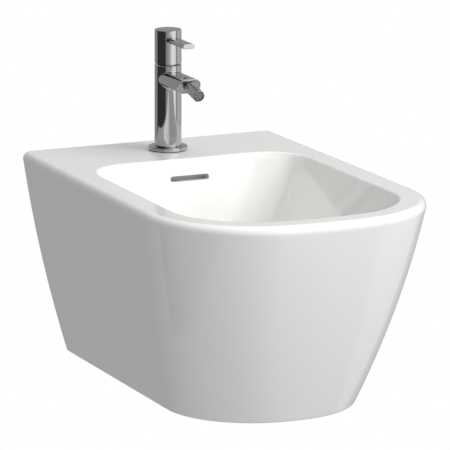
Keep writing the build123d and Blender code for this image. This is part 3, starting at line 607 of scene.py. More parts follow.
@dataclass
class Outline:
    """Plan outline of the body or the bowl at one level.

    Its back is straight, its sides splay, its corners are round and its front is bowed.
    """

    half_width: float
    depth: float
    corner_radius: float
    front_radius: float
    slant: float
    back: float
    back_corner: float = 0.0

    BACK_STEPS = 12
    BACK_CORNER_STEPS = 14
    SIDE_STEPS = 22
    CORNER_STEPS = 34
    FRONT_STEPS = 14

    def half(self) -> np.ndarray:
        """Points of the right half, from the middle of the back to the middle of the front.

        Returns:
            Array of x, y, normal x and normal y, one row a point.
        """
        tilt = radians(self.slant)
        centre_x = self.half_width - self.corner_radius
        front_y = self.front_radius - self.depth
        centre_y = front_y - sqrt((self.front_radius - self.corner_radius) ** 2 - centre_x**2)
        reach = self.corner_radius
        side = np.array([centre_x + reach * cos(tilt), centre_y + reach * sin(tilt)])
        corner = np.array([side[0] - (-self.back - side[1]) * tan(tilt), -self.back])
        turn = atan2(centre_y - front_y, centre_x)
        side_normal = np.array([cos(tilt), sin(tilt)])
        rows = []
        run = self.back_corner * tan((pi / 2 - tilt) / 2)
        count = self.BACK_CORNER_STEPS
        stretch = max(run, 24.0)
        for i in range(self.BACK_STEPS):
            rows.append([(corner[0] - stretch) * i / self.BACK_STEPS, -self.back, 0.0, 1.0])
        along = np.array([-sin(tilt), cos(tilt)])
        if self.back_corner > 0:
            middle = corner + np.array([-run, -self.back_corner])
            for i in range(count + 1):
                angle = pi / 2 + (tilt - pi / 2) * i / count
                normal = np.array([cos(angle), sin(angle)])
                rows.append([*(middle + normal * self.back_corner), *normal])
            start = middle + side_normal * self.back_corner
        else:
            for i in range(count // 2):
                rows.append([corner[0] - stretch * (1 - 2 * i / count), -self.back, 0.0, 1.0])
            for i in range(count // 2 + 1):
                rows.append([*(corner - along * stretch * 2 * i / count), *side_normal])
            start = corner - along * stretch
        for i in range(1, self.SIDE_STEPS):
            rows.append([*(start + (side - start) * i / self.SIDE_STEPS), *side_normal])
        for i in range(self.CORNER_STEPS):
            angle = tilt + (turn - tilt) * i / self.CORNER_STEPS
            normal = np.array([cos(angle), sin(angle)])
            rows.append([*(np.array([centre_x, centre_y]) + normal * self.corner_radius), *normal])
        for i in range(self.FRONT_STEPS + 1):
            angle = turn + (-pi / 2 - turn) * i / self.FRONT_STEPS
            normal = np.array([cos(angle), sin(angle)])
            rows.append([*(np.array([0, front_y]) + normal * self.front_radius), *normal])
        return np.array(rows)

    def ring(self) -> np.ndarray:
        """Points all round, from the middle of the back over the right side.

        Returns:
            Array of x, y, normal x and normal y, one row a point.
        """
        right = self.half()
        left = right[-2:0:-1] * np.array([-1, 1, -1, 1])
        return np.vstack([right, left])


@dataclass
class CeramicBody:
    """Glazed body: outer skin, rim, deck, lip and bowl in one walk of rings, then the hollows behind it."""

    width: float = 360.0
    depth: float = 540.0
    height: float = 263.0
    deck: float = 70.0
    top_corner: float = 141.0
    top_front: float = 486.0
    top_slant: float = 0.92
    foot_width: float = 240.0
    foot_depth: float = 441.0
    foot_corner: float = 110.0
    foot_front: float = 200.0
    foot_slant: float = 1.23
    side_bulge: float = 5.7
    front_bulge: float = 7.5
    rim_radius: float = 8.5
    glaze_radius: float = 1.6
    rim_width: float = 34.6
    bowl_back: float = 122.3
    bowl_back_corner: float = 53.0
    lip_radius: float = 4.5
    bowl_depth: float = 145.0
    back_lean: float = 12.0
    side_lean: float = 26.0
    front_lean: float = 25.0
    floor_corner: float = 60.0
    floor_front: float = 260.0
    floor_back_corner: float = 30.0
    facet_start: float = 16.0
    facet_turn: float = 26.0
    facet_lean: float = 26.0
    crease_radius: float = 10.0
    floor_radius: float = 24.0
    floor_slope: float = 5.0
    wall: float = 10.0
    skirt: float = 11.0
    deck_thickness: float = 14.0
    back_plate: float = 18.0
    drain_from_wall: float = 250.0
    drain_seat_radius: float = 33.0
    drain_seat_depth: float = 2.0
    drain_hole_radius: float = 22.75
    boss_radius: float = 37.0
    boss_height: float = 44.0
    boss_bore: float = 28.0
    boss_top: float = 12.0
    slot_length: float = 53.0
    slot_height: float = 7.0
    slot_depth: float = 24.0
    duct_gap: float = 13.0
    duct_wall: float = 8.0
    duct_foot: float = 14.0
    tap_from_wall: float = 60.0
    tap_hole: float = 17.5
    fixing_spacing: float = 180.0
    fixing_hole: float = 11.0
    opening_width: float = 116.0
    opening_below_deck: float = 42.0

    @property
    def drain(self) -> tuple[float, float, float]:
        """Foot of the drain axis at the level of the wall fixings."""
        return 0.0, -self.drain_from_wall, 0.0

    def share(self, share: float, inset: float = 0.0, back: float = 0.0, back_corner: float = 0.0) -> Outline:
        """Outline of the body at a share of its height below the deck.

        Args:
            share: Share of the height, nought at the deck and one at the foot.
            inset: Distance inside the outer skin.
            back: Distance of the back edge from the wall.
            back_corner: Radius of the corners at the back.

        Returns:
            The outline at that level.
        """
        bulge = 4 * share * (1 - share)
        width = self.width + (self.foot_width - self.width) * share
        return Outline(
            half_width=width / 2 + self.side_bulge * bulge - inset,
            depth=self.depth + (self.foot_depth - self.depth) * share + self.front_bulge * bulge - inset,
            corner_radius=self.top_corner + (self.foot_corner - self.top_corner) * share - inset,
            front_radius=self.top_front + (self.foot_front - self.top_front) * share - inset,
            slant=self.top_slant + (self.foot_slant - self.top_slant) * share,
            back=back,
            back_corner=back_corner,
        )

    def bowl_outline(self, drop: float) -> Outline:
        """Outline of the bowl's walls at a depth below the deck, before the facets cut its corners.

        Args:
            drop: Depth below the deck.

        Returns:
            The outline at that depth.
        """
        share = drop / self.bowl_depth
        mouth = self.share(0.0, self.rim_width)
        return Outline(
            half_width=mouth.half_width - drop * tan(radians(self.side_lean)),
            depth=mouth.depth - drop * tan(radians(self.front_lean)),
            corner_radius=mouth.corner_radius + (self.floor_corner - mouth.corner_radius) * share,
            front_radius=mouth.front_radius + (self.floor_front - mouth.front_radius) * share,
            slant=self.top_slant,
            back=self.bowl_back + drop * tan(radians(self.back_lean)),
            back_corner=self.bowl_back_corner + (self.floor_back_corner - self.bowl_back_corner) * share,
        )

    def outer_rings(self) -> list[np.ndarray]:
        """Rings of the outer skin from the foot's edge up, over the rim and onto the deck.

        Returns:
            Arrays of x, y and z, one row a point.
        """
        rings = []
        foot = self.deck - self.height

        def lay(outline: np.ndarray, offset: np.ndarray, z: np.ndarray) -> np.ndarray:
            """Move an outline outwards by an offset for each point, with its back kept on the wall.

            Args:
                outline: Rows of x, y and the outward direction.
                offset: Distance outwards for each row.
                z: Level of each row.

            Returns:
                Rows of x, y and z.
            """
            flat = outline[:, 1] > -0.001
            corner = outline[flat, 0].max()
            moved = outline[:, :2] + outline[:, 2:] * offset[:, None]
            side = (np.abs(outline[:, 0]) > corner - 0.001) & flat
            moved[side, 0] = outline[side, 0] + np.sign(outline[side, 0]) * offset[side]
            moved[side, 1] = 0.0
            shrink = (corner + offset[side][0]) / corner
            inner = flat & ~side
            moved[inner, 0] = outline[inner, 0] * shrink
            moved[inner, 1] = 0.0
            return np.column_stack([moved, z])

        bottom = self.share(1.0).ring()
        count = len(bottom)
        for i in range(4):
            turn = pi / 2 * i / 3
            inset = -self.glaze_radius * (1 - sin(turn))
            rise = self.glaze_radius * (1 - cos(turn))
            ring = self.share(1 - rise / self.height).ring()
            rings.append(lay(ring, np.full(count, inset), np.full(count, foot + rise)))
        levels = np.concatenate([[2.4], np.linspace(6.0, self.height - 14.0, 30)])
        for rise in levels:
            ring = self.share(1 - rise / self.height).ring()
            rings.append(np.column_stack([ring[:, :2], np.full(count, foot + rise)]))
        top = self.share(0.0).ring()
        below = self.share(8.0 / self.height).ring()
        lean = np.arctan(((top[:, :2] - below[:, :2]) * top[:, 2:]).sum(axis=1) / 8.0)
        radius = self.rim_radius
        centre = -radius * (1 + np.sin(lean)) / np.cos(lean)
        steps = 12
        for i in range(steps + 1):
            turn = -lean + (pi / 2 + lean) * i / steps
            rings.append(lay(top, centre + radius * np.cos(turn), self.deck - radius + radius * np.sin(turn)))
        rings.append(lay(top, centre - 0.7, np.full(count, self.deck)))
        return rings

    def lip_rings(self) -> list[np.ndarray]:
        """Rings from the deck over the rounded lip into the bowl.

        Returns:
            Arrays of x, y and z, one row a point.
        """
        mouth = self.bowl_outline(0.0).ring()
        below = self.bowl_outline(10.0).ring()
        lean = np.arctan(((mouth[:, :2] - below[:, :2]) * mouth[:, 2:]).sum(axis=1) / 10.0)
        radius = self.lip_radius
        sweep = pi / 2 - lean
        out = radius * np.tan(sweep / 2)
        flat = mouth[:, :2] + mouth[:, 2:] * (out + 0.7)[:, None]
        rings = [np.column_stack([flat, np.full(len(mouth), self.deck)])]
        steps = 9
        for i in range(steps + 1):
            turn = sweep * i / steps
            offset = out - radius * np.sin(turn)
            height = self.deck - radius + radius * np.cos(turn)
            rings.append(np.column_stack([mouth[:, :2] + mouth[:, 2:] * offset[:, None], height]))
        return rings

    def wall_planes(self) -> tuple[np.ndarray, np.ndarray]:
        """Half-spaces that bound the bowl's walls.

        Returns:
            Unit normals that point out of the bowl, and their distances.
        """
        normals, distances = [], []
        levels = np.linspace(0.0, self.bowl_depth, 5)
        for low, high in zip(levels, levels[1:]):
            upper, lower = self.bowl_outline(low).ring(), self.bowl_outline(high).ring()
            a = np.column_stack([upper[:, :2], np.full(len(upper), self.deck - low)])
            b = np.column_stack([lower[:, :2], np.full(len(lower), self.deck - high)])
            along = np.column_stack([-upper[:, 3], upper[:, 2], np.zeros(len(upper))])
            normal = np.cross(along, a - b)
            normal /= np.linalg.norm(normal, axis=1)[:, None]
            normal *= np.sign((normal[:, :2] * upper[:, 2:]).sum(axis=1))[:, None]
            normals.append(normal)
            distances.append((normal * (a + b) / 2).sum(axis=1))
        return np.vstack(normals), np.concatenate(distances)

    def facet_planes(self) -> list[tuple[np.ndarray, float]]:
        """Half-spaces of the two sloping flats in the bowl's back corners.

        Returns:
            Normals that point out of the bowl, and their distances.
        """
        turn, lean = radians(self.facet_turn), radians(self.facet_lean)
        shrink = (self.bowl_back_corner - self.floor_back_corner) * self.facet_start / self.bowl_depth
        corner = self.bowl_back_corner - shrink
        side_x = self.width / 2 - self.rim_width - self.facet_start * tan(radians(self.side_lean))
        back_y = -self.bowl_back - self.facet_start * tan(radians(self.back_lean))
        planes = []
        for side in (-1, 1):
            start = np.array([
                side * (side_x - corner + corner * sin(turn)),
                back_y - corner + corner * cos(turn),
                self.deck - self.facet_start,
            ])
            normal = np.array([side * sin(turn) * cos(lean), cos(turn) * cos(lean), -sin(lean)])
            planes.append((normal, float(normal @ start)))
        return planes

    def field(self, points: np.ndarray, grow: float, rounded: bool) -> np.ndarray:
        """Signed distance to the bowl's surface, below nought inside the bowl.

        Args:
            points: Rows of x, y and z.
            grow: Distance by which the bowl is grown outwards.
            rounded: Whether creases and the floor's edge are rounded.

        Returns:
            One distance a point.
        """
        if not hasattr(self, "_walls"):
            self._walls = self.wall_planes()
        normals, distances = self._walls
        walls = (points @ normals.T - distances).max(axis=1) - grow
        facets = [points @ normal - distance - grow for normal, distance in self.facet_planes()]
        away = np.hypot(points[:, 0], points[:, 1] + self.drain_from_wall)
        slope = radians(self.floor_slope)
        level = self.deck - self.bowl_depth + away * tan(slope)
        floor = (level - points[:, 2]) * cos(slope) - grow
        if not rounded:
            return np.maximum.reduce([walls, *facets, floor])

        def blend(parts: list[np.ndarray], radius: float) -> np.ndarray:
            """Join distance fields with a round of one radius in each crease.

            Args:
                parts: Distance fields of the same length.
                radius: Radius of the round.

            Returns:
                The joined field.
            """
            over = np.sqrt(sum(np.maximum(part + radius, 0) ** 2 for part in parts)) - radius
            return np.maximum(over, np.minimum(np.maximum.reduce(parts), -radius))

        sides = blend([walls, *facets], self.crease_radius)
        return blend([sides, floor], self.floor_radius)

    def cast(self, origins: np.ndarray, ways: np.ndarray, grow: float, rounded: bool) -> np.ndarray:
        """Follow rays from inside the bowl to its surface by halving.

        Args:
            origins: Rows of starting points.
            ways: Rows of unit directions.
            grow: Distance by which the bowl is grown outwards.
            rounded: Whether creases are rounded.

        Returns:
            Rows of points on the surface.
        """
        low, high = np.zeros(len(origins)), np.full(len(origins), 420.0)
        for _ in range(22):
            middle = (low + high) / 2
            inside = self.field(origins + ways * middle[:, None], grow, rounded) < 0
            low, high = np.where(inside, middle, low), np.where(inside, high, middle)
        return origins + ways * low[:, None]

    def bowl_rings(
        self, grow: float, rounded: bool, around: np.ndarray, levels: Sequence[float]
    ) -> list[np.ndarray]:
        """Rings down the bowl's walls, round the floor's edge and in to the drain seat.

        Args:
            grow: Distance by which the bowl is grown outwards.
            rounded: Whether creases are rounded.
            around: Points of the mouth that the rings keep in line with.
            levels: Depths of the level rings above the fan.

        Returns:
            Arrays of x, y and z, one row a point.
        """
        drain = np.array([0.0, -self.drain_from_wall])
        way = around[:, :2] - drain
        way /= np.linalg.norm(way, axis=1)[:, None]
        count = len(way)
        flat = np.column_stack([way, np.zeros(count)])
        fan_depth = levels[-1]
        origins, ways = [], []
        for level in levels:
            origins.append(np.tile([*drain, self.deck - level], (count, 1)))
            ways.append(flat)
        edge = self.cast(origins[-1], flat, grow, rounded)
        reach = np.linalg.norm(edge[:, :2] - drain, axis=1) * 0.5
        start = np.column_stack([drain + way * reach[:, None], np.full(count, self.deck - fan_depth)])
        for i in range(1, 45):
            turn = pi / 2 * i / 44
            origins.append(start)
            ways.append(np.column_stack([way * cos(turn), np.full(count, -sin(turn))]))
        for i in range(1, 13):
            hold = reach + (self.drain_seat_radius - reach) * i / 12
            level = np.full(count, self.deck - fan_depth)
            origins.append(np.column_stack([drain + way * hold[:, None], level]))
            ways.append(np.tile([0.0, 0.0, -1.0], (count, 1)))
        points = self.cast(np.vstack(origins), np.vstack(ways), grow, rounded)
        return [points[i * count : (i + 1) * count] for i in range(len(origins))]

    def duct_side(self, gap: float, foot_gap: float, reach: float, front: float) -> list[tuple[float, float]]:
        """Side view of the overflow duct, which runs down behind the bowl and forward to the drain.

        Args:
            gap: Distance of its back from the bowl's skin.
            foot_gap: Distance of its foot below the bowl's skin.
            reach: How far it runs past the drain axis.
            front: Distance that its front reaches into the bowl's wall.

        Returns:
            Pairs of y and z.
        """
        lean = tan(radians(self.back_lean))
        skin = self.bowl_back - self.wall
        top = self.slot_depth - self.slot_height
        low = self.bowl_depth + self.wall + foot_gap
        under = self.bowl_depth + self.wall - front
        return [
            (-skin - top * lean + gap, self.deck - top),
            (-skin - top * lean - front, self.deck - top),
            (-skin - under * lean - front, self.deck - under),
            (-self.drain_from_wall + reach, self.deck - under),
            (-self.drain_from_wall + reach, self.deck - low),
            (-skin - low * lean + gap, self.deck - low),
        ]

    def hollow(self) -> bpy.types.Object:
        """Space behind the skirt: the body's inside less the bowl's skin, the drain boss and the duct.

        Returns:
            A closed mesh.
        """
        rings = []
        for share in np.linspace(1 + 2 / self.height, self.deck_thickness / self.height, 24):
            ring = self.share(share, self.skirt, self.back_plate).ring()
            rings.append(np.column_stack([ring[:, :2], np.full(len(ring), self.deck - self.height * share)]))
        space = wrap("service_space", rings)
        around = self.bowl_outline(0.0).ring()
        bowl = wrap("bowl_skin", self.bowl_rings(self.wall, False, around, [-6.0, 10.0, 25.0, 45.0]))
        boss_foot = self.deck - self.bowl_depth - self.boss_height
        boss = cylinder(self.boss_radius, boss_foot, self.deck - self.bowl_depth, self.drain)
        half = self.slot_length / 2 + self.duct_wall
        gap, foot = self.duct_gap + self.duct_wall, self.duct_foot + self.duct_wall
        side = self.duct_side(gap, foot, self.boss_radius / 2, 5.0)
        duct = prism([(-half, y, z) for y, z in side], (2 * half, 0, 0))
        return combine(space, [bowl, boss, duct], "DIFFERENCE")

    def slot(self) -> bpy.types.Object:
        """Cutter of the overflow slot, a rounded bar through the bowl's back wall.

        Returns:
            A closed mesh.
        """
        radius = self.slot_height / 2
        bpy.ops.object.select_all(action="DESELECT")
        bpy.ops.mesh.primitive_cylinder_add(
            vertices=40, radius=radius * MM, depth=30 * MM, rotation=(pi / 2, 0, 0)
        )
        piece = bpy.context.object
        bpy.ops.object.transform_apply(location=True, rotation=True, scale=True)
        edit(piece)
        for side in (-1, 1):
            bpy.ops.mesh.select_all(action="DESELECT")
            pick(piece, "verts", lambda p, s=side: p.x * s > 0.01)
            bpy.ops.transform.translate(value=(side * (self.slot_length / 2 - radius) * MM, 0, 0))
        leave()
        piece.location = Vector((0, -self.bowl_back - 5.0, self.deck - self.slot_depth)) * MM
        return piece

    def cutters(self) -> list[bpy.types.Object]:
        """Everything that is cut from the solid body, in order.

        Returns:
            Closed meshes.
        """
        floor = self.deck - self.bowl_depth
        boss_foot = floor - self.boss_height
        half = self.slot_length / 2
        side = self.duct_side(self.duct_gap, self.duct_foot, self.drain_hole_radius, 0.0)
        duct = prism([(-half, y, z) for y, z in side], (2 * half, 0, 0))
        bore = cylinder(self.boss_bore, boss_foot - 5, floor - self.boss_top, self.drain)
        under = self.deck - 2 * self.deck_thickness
        tap = cylinder(self.tap_hole, under, self.deck + 5, (0.0, -self.tap_from_wall, 0.0))
        fixings = [
            cylinder(self.fixing_hole, -30, 30, (side * self.fixing_spacing / 2, 0, 0), (0, 1, 0))
            for side in (-1, 1)
        ]
        rise = self.deck - self.opening_below_deck
        foot = self.deck - self.height
        bpy.ops.object.select_all(action="DESELECT")
        bpy.ops.mesh.primitive_cube_add(size=1, location=(0, 0, (rise + foot - 20) / 2 * MM))
        opening = bpy.context.object
        opening.dimensions = (self.opening_width * MM, 60 * MM, (rise - foot + 20) * MM)
        only(opening)
        bpy.ops.object.transform_apply(location=True, rotation=True, scale=True)
        edit(opening, "EDGE")
        pick(opening, "edges", lambda p: p.z > rise - 0.1 and abs(p.x) > self.opening_width / 2 - 0.1)
        bpy.ops.mesh.bevel(offset=self.skirt * MM, segments=8, affect="EDGES")
        leave()
        return [self.hollow(), duct, bore, tap, *fixings, opening, self.slot()]

    def build(self) -> bpy.types.Object:
        """Walk the rings from the foot to the drain, close the solid and cut its hollows.

        Returns:
            The finished body.
        """
        outer = self.outer_rings()
        lip = self.lip_rings()
        shares = (0.12, 0.35, 0.65, 0.9)
        deck = [outer[-1] + (lip[0] - outer[-1]) * share for share in shares]
        around = self.bowl_outline(0.0).ring()
        levels = [6.5, 9.0, 12.0, 15.0, 18.0, 21.0, 24.5, 28.0, 32.0, 36.0, 40.5, 45.0]
        bowl = self.bowl_rings(0.0, True, around, levels)
        centre = np.array([0.0, -self.drain_from_wall])
        way = bowl[-1][:, :2] - centre
        way /= np.linalg.norm(way, axis=1)[:, None]
        seat = self.deck - self.bowl_depth - self.drain_seat_depth
        below = self.deck - self.bowl_depth - self.boss_height - 3.0
        well = [
            np.column_stack([centre + way * radius, np.full(len(way), z)])
            for radius, z in (
                (self.drain_seat_radius, seat),
                (self.drain_hole_radius, seat),
                (self.drain_hole_radius, below),
            )
        ]
        piece = wrap("ceramic_body_glazed", [*outer, *deck, *lip, *bowl, *well])
        combine(piece, self.cutters(), "DIFFERENCE")
        return settle(piece, "ceramic_body_glazed")


@dataclass
class Tap:
    """Chrome tap: base ring, column with its spout, and the cap with its lever."""

    from_wall: float = 60.0
    base: float = 71.0
    ring_radius: float = 24.6
    ring_top: float = 75.2
    spigot_radius: float = 15.5
    spigot_foot: float = 67.0
    radius: float = 16.9
    seam: float = 179.0
    seam_chamfer: float = 0.5
    chamber_radius: float = 13.4
    chamber_floor: float = 152.0
    counterbore_radius: float = 14.7
    counterbore_floor: float = 174.0
    spout_width: float = 31.6
    spout_height: float = 18.6
    spout_level: float = 161.6
    outlet_y: float = -125.0
    outlet_drop: float = 14.0
    spout_edge: float = 0.7
    spout_root: float = 1.6
    nozzle_bore: float = 8.2
    nozzle_bore_depth: float = 11.5
    nozzle_bore_edge: float = 0.3
    nozzle_bore_middle: float = 4.0
    inlet_bore: float = 4.0
    cap_foot: float = 180.5
    cap_top: float = 223.5
    cap_round: float = 0.7
    cavity_radius: float = 14.2
    cavity_top: float = 194.0
    relief: float = 13.5
    lever_width: float = 16.0
    lever_thickness: float = 6.4
    lever_level: float = 211.8
    lever_end: float = -124.3
    lever_edge: float = 0.6
    lever_root: float = 1.6
    grub_radius: float = 2.5
    grub_level: float = 201.0
    inlet_radius: float = 4.0
    inlet_depth: float = 12.0
    inlet_x: float = 5.5
    inlet_y: float = -1.5
    stud_radius: float = 3.0
    stud_y: float = 11.5
    stud_depth: float = 14.0

    @property
    def centre(self) -> tuple[float, float, float]:
        """Foot of the tap's axis at the level of the wall fixings."""
        return 0.0, -self.from_wall, 0.0

    @staticmethod
    def pill(width: float, height: float, arc_steps: int = 28, flat_steps: int = 10) -> np.ndarray:
        """Outline of a pill with round ends.

        Args:
            width: Overall width.
            height: Overall height.
            arc_steps: Steps round each end.
            flat_steps: Steps along each flat.

        Returns:
            Array of x, z, normal x and normal z, one row a point.
        """
        radius = height / 2
        flat = width / 2 - radius
        rows = []
        for side, start in ((1, -pi / 2), (-1, pi / 2)):
            for i in range(arc_steps + 1):
                turn = start + pi * i / arc_steps
                rows.append([side * flat + radius * cos(turn), radius * sin(turn), cos(turn), sin(turn)])
            for i in range(1, flat_steps):
                rows.append([side * flat * (1 - 2 * i / flat_steps), side * radius, 0.0, float(side)])
        return np.array(rows)

    def arm(
        self, outline: np.ndarray, level: float, root: float, tilt: float, end_y: float, edge: float
    ) -> list[np.ndarray]:
        """Rings of an arm that grows from the round column through a rolling fillet to its edged end.

        Args:
            outline: Pill outline of the arm.
            level: Height of its middle.
            root: Radius of the fillet where it leaves the column.
            tilt: Angle of its end face from upright, in radians.
            end_y: Where the end face crosses the arm's middle.
            edge: Round of its end.

        Returns:
            Arrays of x, y and z, one row a point.
        """
        x, z, nx, nz = outline.T
        reach = self.radius + root
        ball_x = x + nx * root
        ball_y = -np.sqrt(reach**2 - ball_x**2)
        start = np.column_stack([-ball_x / reach, -ball_y / reach, np.zeros(len(x))])
        stop = np.column_stack([-nx, np.zeros(len(x)), -nz])
        middle = np.column_stack([ball_x, ball_y - self.from_wall, z + nz * root + level])
        angle = np.arccos(np.clip((start * stop).sum(axis=1), -1, 1))[:, None]
        angle = np.maximum(angle, 1e-4)
        rings = []
        sunk = middle + start * (root + 1.4)
        rings.append(sunk)
        for i in range(9):
            share = i / 8
            way = (start * np.sin(angle * (1 - share)) + stop * np.sin(angle * share)) / np.sin(angle)
            rings.append(middle + way * root)
        face = end_y - z * tan(tilt)
        last = rings[-1]
        for i in range(1, 9):
            y = last[:, 1] + (face + edge - last[:, 1]) * i / 8
            rings.append(np.column_stack([x, y, z + level]))
        for i in range(1, 6):
            turn = pi / 2 * i / 5
            inset = edge * (1 - cos(turn))
            y = face + edge * (1 - sin(turn))
            rings.append(np.column_stack([x - nx * inset, y, z - nz * inset + level]))
        return rings

    def column(self) -> bpy.types.Object:
        """Column, spigot and chamber, with the spout and its nozzle bore.

        Returns:
            The tap's body.
        """
        chamfer = self.seam_chamfer
        profile = [
            (0, self.spigot_foot),
            (self.spigot_radius - 0.4, self.spigot_foot),
            (self.spigot_radius, self.spigot_foot + 0.4),
            (self.spigot_radius, self.ring_top),
            (self.radius - 0.2, self.ring_top),
            (self.radius, self.ring_top + 0.2),
            *[
                (self.radius, self.ring_top + (self.seam - self.ring_top) * share)
                for share in (0.25, 0.5, 0.75)
            ],
            (self.radius, self.seam - chamfer),
            (self.radius - chamfer, self.seam),
            (self.counterbore_radius, self.seam),
            (self.counterbore_radius, self.counterbore_floor),
            (self.chamber_radius, self.counterbore_floor),
            (self.chamber_radius, self.chamber_floor),
            (0, self.chamber_floor),
        ]
        column = turned(profile, self.centre, sides=256, closed=False)
        holes = [
            cylinder(self.inlet_radius, self.spigot_foot - 1, self.spigot_foot + self.inlet_depth,
                     (side * self.inlet_x, self.inlet_y - self.from_wall, 0), sides=48)
            for side in (-1, 1)
        ]
        stud = (0, self.stud_y - self.from_wall, 0)
        stud_end = self.spigot_foot + self.stud_depth
        holes.append(cylinder(self.stud_radius, self.spigot_foot - 1, stud_end, stud, sides=48))
        combine(column, holes, "DIFFERENCE")
        tilt = radians(self.outlet_drop)
        outline = self.pill(self.spout_width, self.spout_height)
        rings = self.arm(outline, self.spout_level, self.spout_root, tilt, self.outlet_y, self.spout_edge)
        turns = np.arctan2(outline[:, 1] / self.spout_height, outline[:, 0] / self.spout_width)
        bore = (
            (self.nozzle_bore + self.nozzle_bore_edge, 0),
            (self.nozzle_bore, self.nozzle_bore_edge),
            (self.nozzle_bore, self.nozzle_bore_middle),
            (self.nozzle_bore, self.nozzle_bore_depth),
            (self.inlet_bore, self.nozzle_bore_depth),
        )
        for radius, depth in bore:
            across, up = radius * np.cos(turns), radius * np.sin(turns)
            y = self.outlet_y - up * sin(tilt) + depth * cos(tilt)
            z = self.spout_level + up * cos(tilt) + depth * sin(tilt)
            rings.append(np.column_stack([across, y, z]))
        return settle(merge(column, wrap("spout", rings, capped=False)), "tap_body_plated")

    def handle(self) -> bpy.types.Object:
        """Cap with its cavity, foot relief and grub-screw hole, and the flat lever.

        Returns:
            The handle.
        """
        chamfer = self.seam_chamfer
        centre = (self.radius - self.cap_round, self.cap_top - self.cap_round)
        profile = [
            (0, self.cap_top),
            (self.radius * 0.6, self.cap_top),
            *arc(centre, self.cap_round, 90, 0, 5),
            *[
                (self.radius, self.cap_top + (self.cap_foot - self.cap_top) * share)
                for share in (0.25, 0.5, 0.75)
            ],
            (self.radius, self.cap_foot + chamfer),
            (self.radius - chamfer, self.cap_foot),
            (self.cavity_radius, self.cap_foot),
            (self.cavity_radius, self.cavity_top),
            (0, self.cavity_top),
        ]
        cap = turned(profile, self.centre, sides=256, closed=False)
        grub_centre = (0, -self.from_wall, self.grub_level)
        grub = cylinder(self.grub_radius, 5, 2 * self.radius, grub_centre, (0, 1, 0), 40)
        far = 2 * self.radius
        rise = far * tan(radians(self.relief))
        wedge = prism(
            [
                (-far, -self.from_wall, self.cap_foot - 0.01),
                (-far, -self.from_wall + far, self.cap_foot - 0.01),
                (-far, -self.from_wall + far, self.cap_foot + rise),
            ],
            (2 * far, 0, 0),
        )
        combine(cap, [grub, wedge], "DIFFERENCE")
        outline = self.pill(self.lever_width, self.lever_thickness, flat_steps=16)
        rings = self.arm(outline, self.lever_level, self.lever_root, 0.0, self.lever_end, self.lever_edge)
        inner = rings[-1].copy()
        inner[:, 2] = self.lever_level + (inner[:, 2] - self.lever_level) * 0.5
        rings.append(inner)
        lever = wrap("lever", rings, capped=True)
        return settle(merge(cap, lever), "handle_plated")

    def build(self) -> None:
        """Make the tap's visible pieces and hand them over."""
        edge = 1.0
        ring = turned(
            [
                (self.spigot_radius + 0.1, self.base),
                (self.ring_radius - 0.25, self.base),
                (self.ring_radius, self.base + 0.25),
                *arc((self.ring_radius - edge, self.ring_top - edge), edge, 0, 90, 7),
                (self.radius + 1.5, self.ring_top),
                (self.spigot_radius + 0.1, self.ring_top),
            ],
            self.centre,
            sides=192,
        )
        hand_over(settle(ring, "base_ring_plated"), "fixture", "chrome", "base_ring")
        hand_over(self.column(), "fixture", "chrome", "tap_body")
        hand_over(self.handle(), "handle", "chrome", "handle")


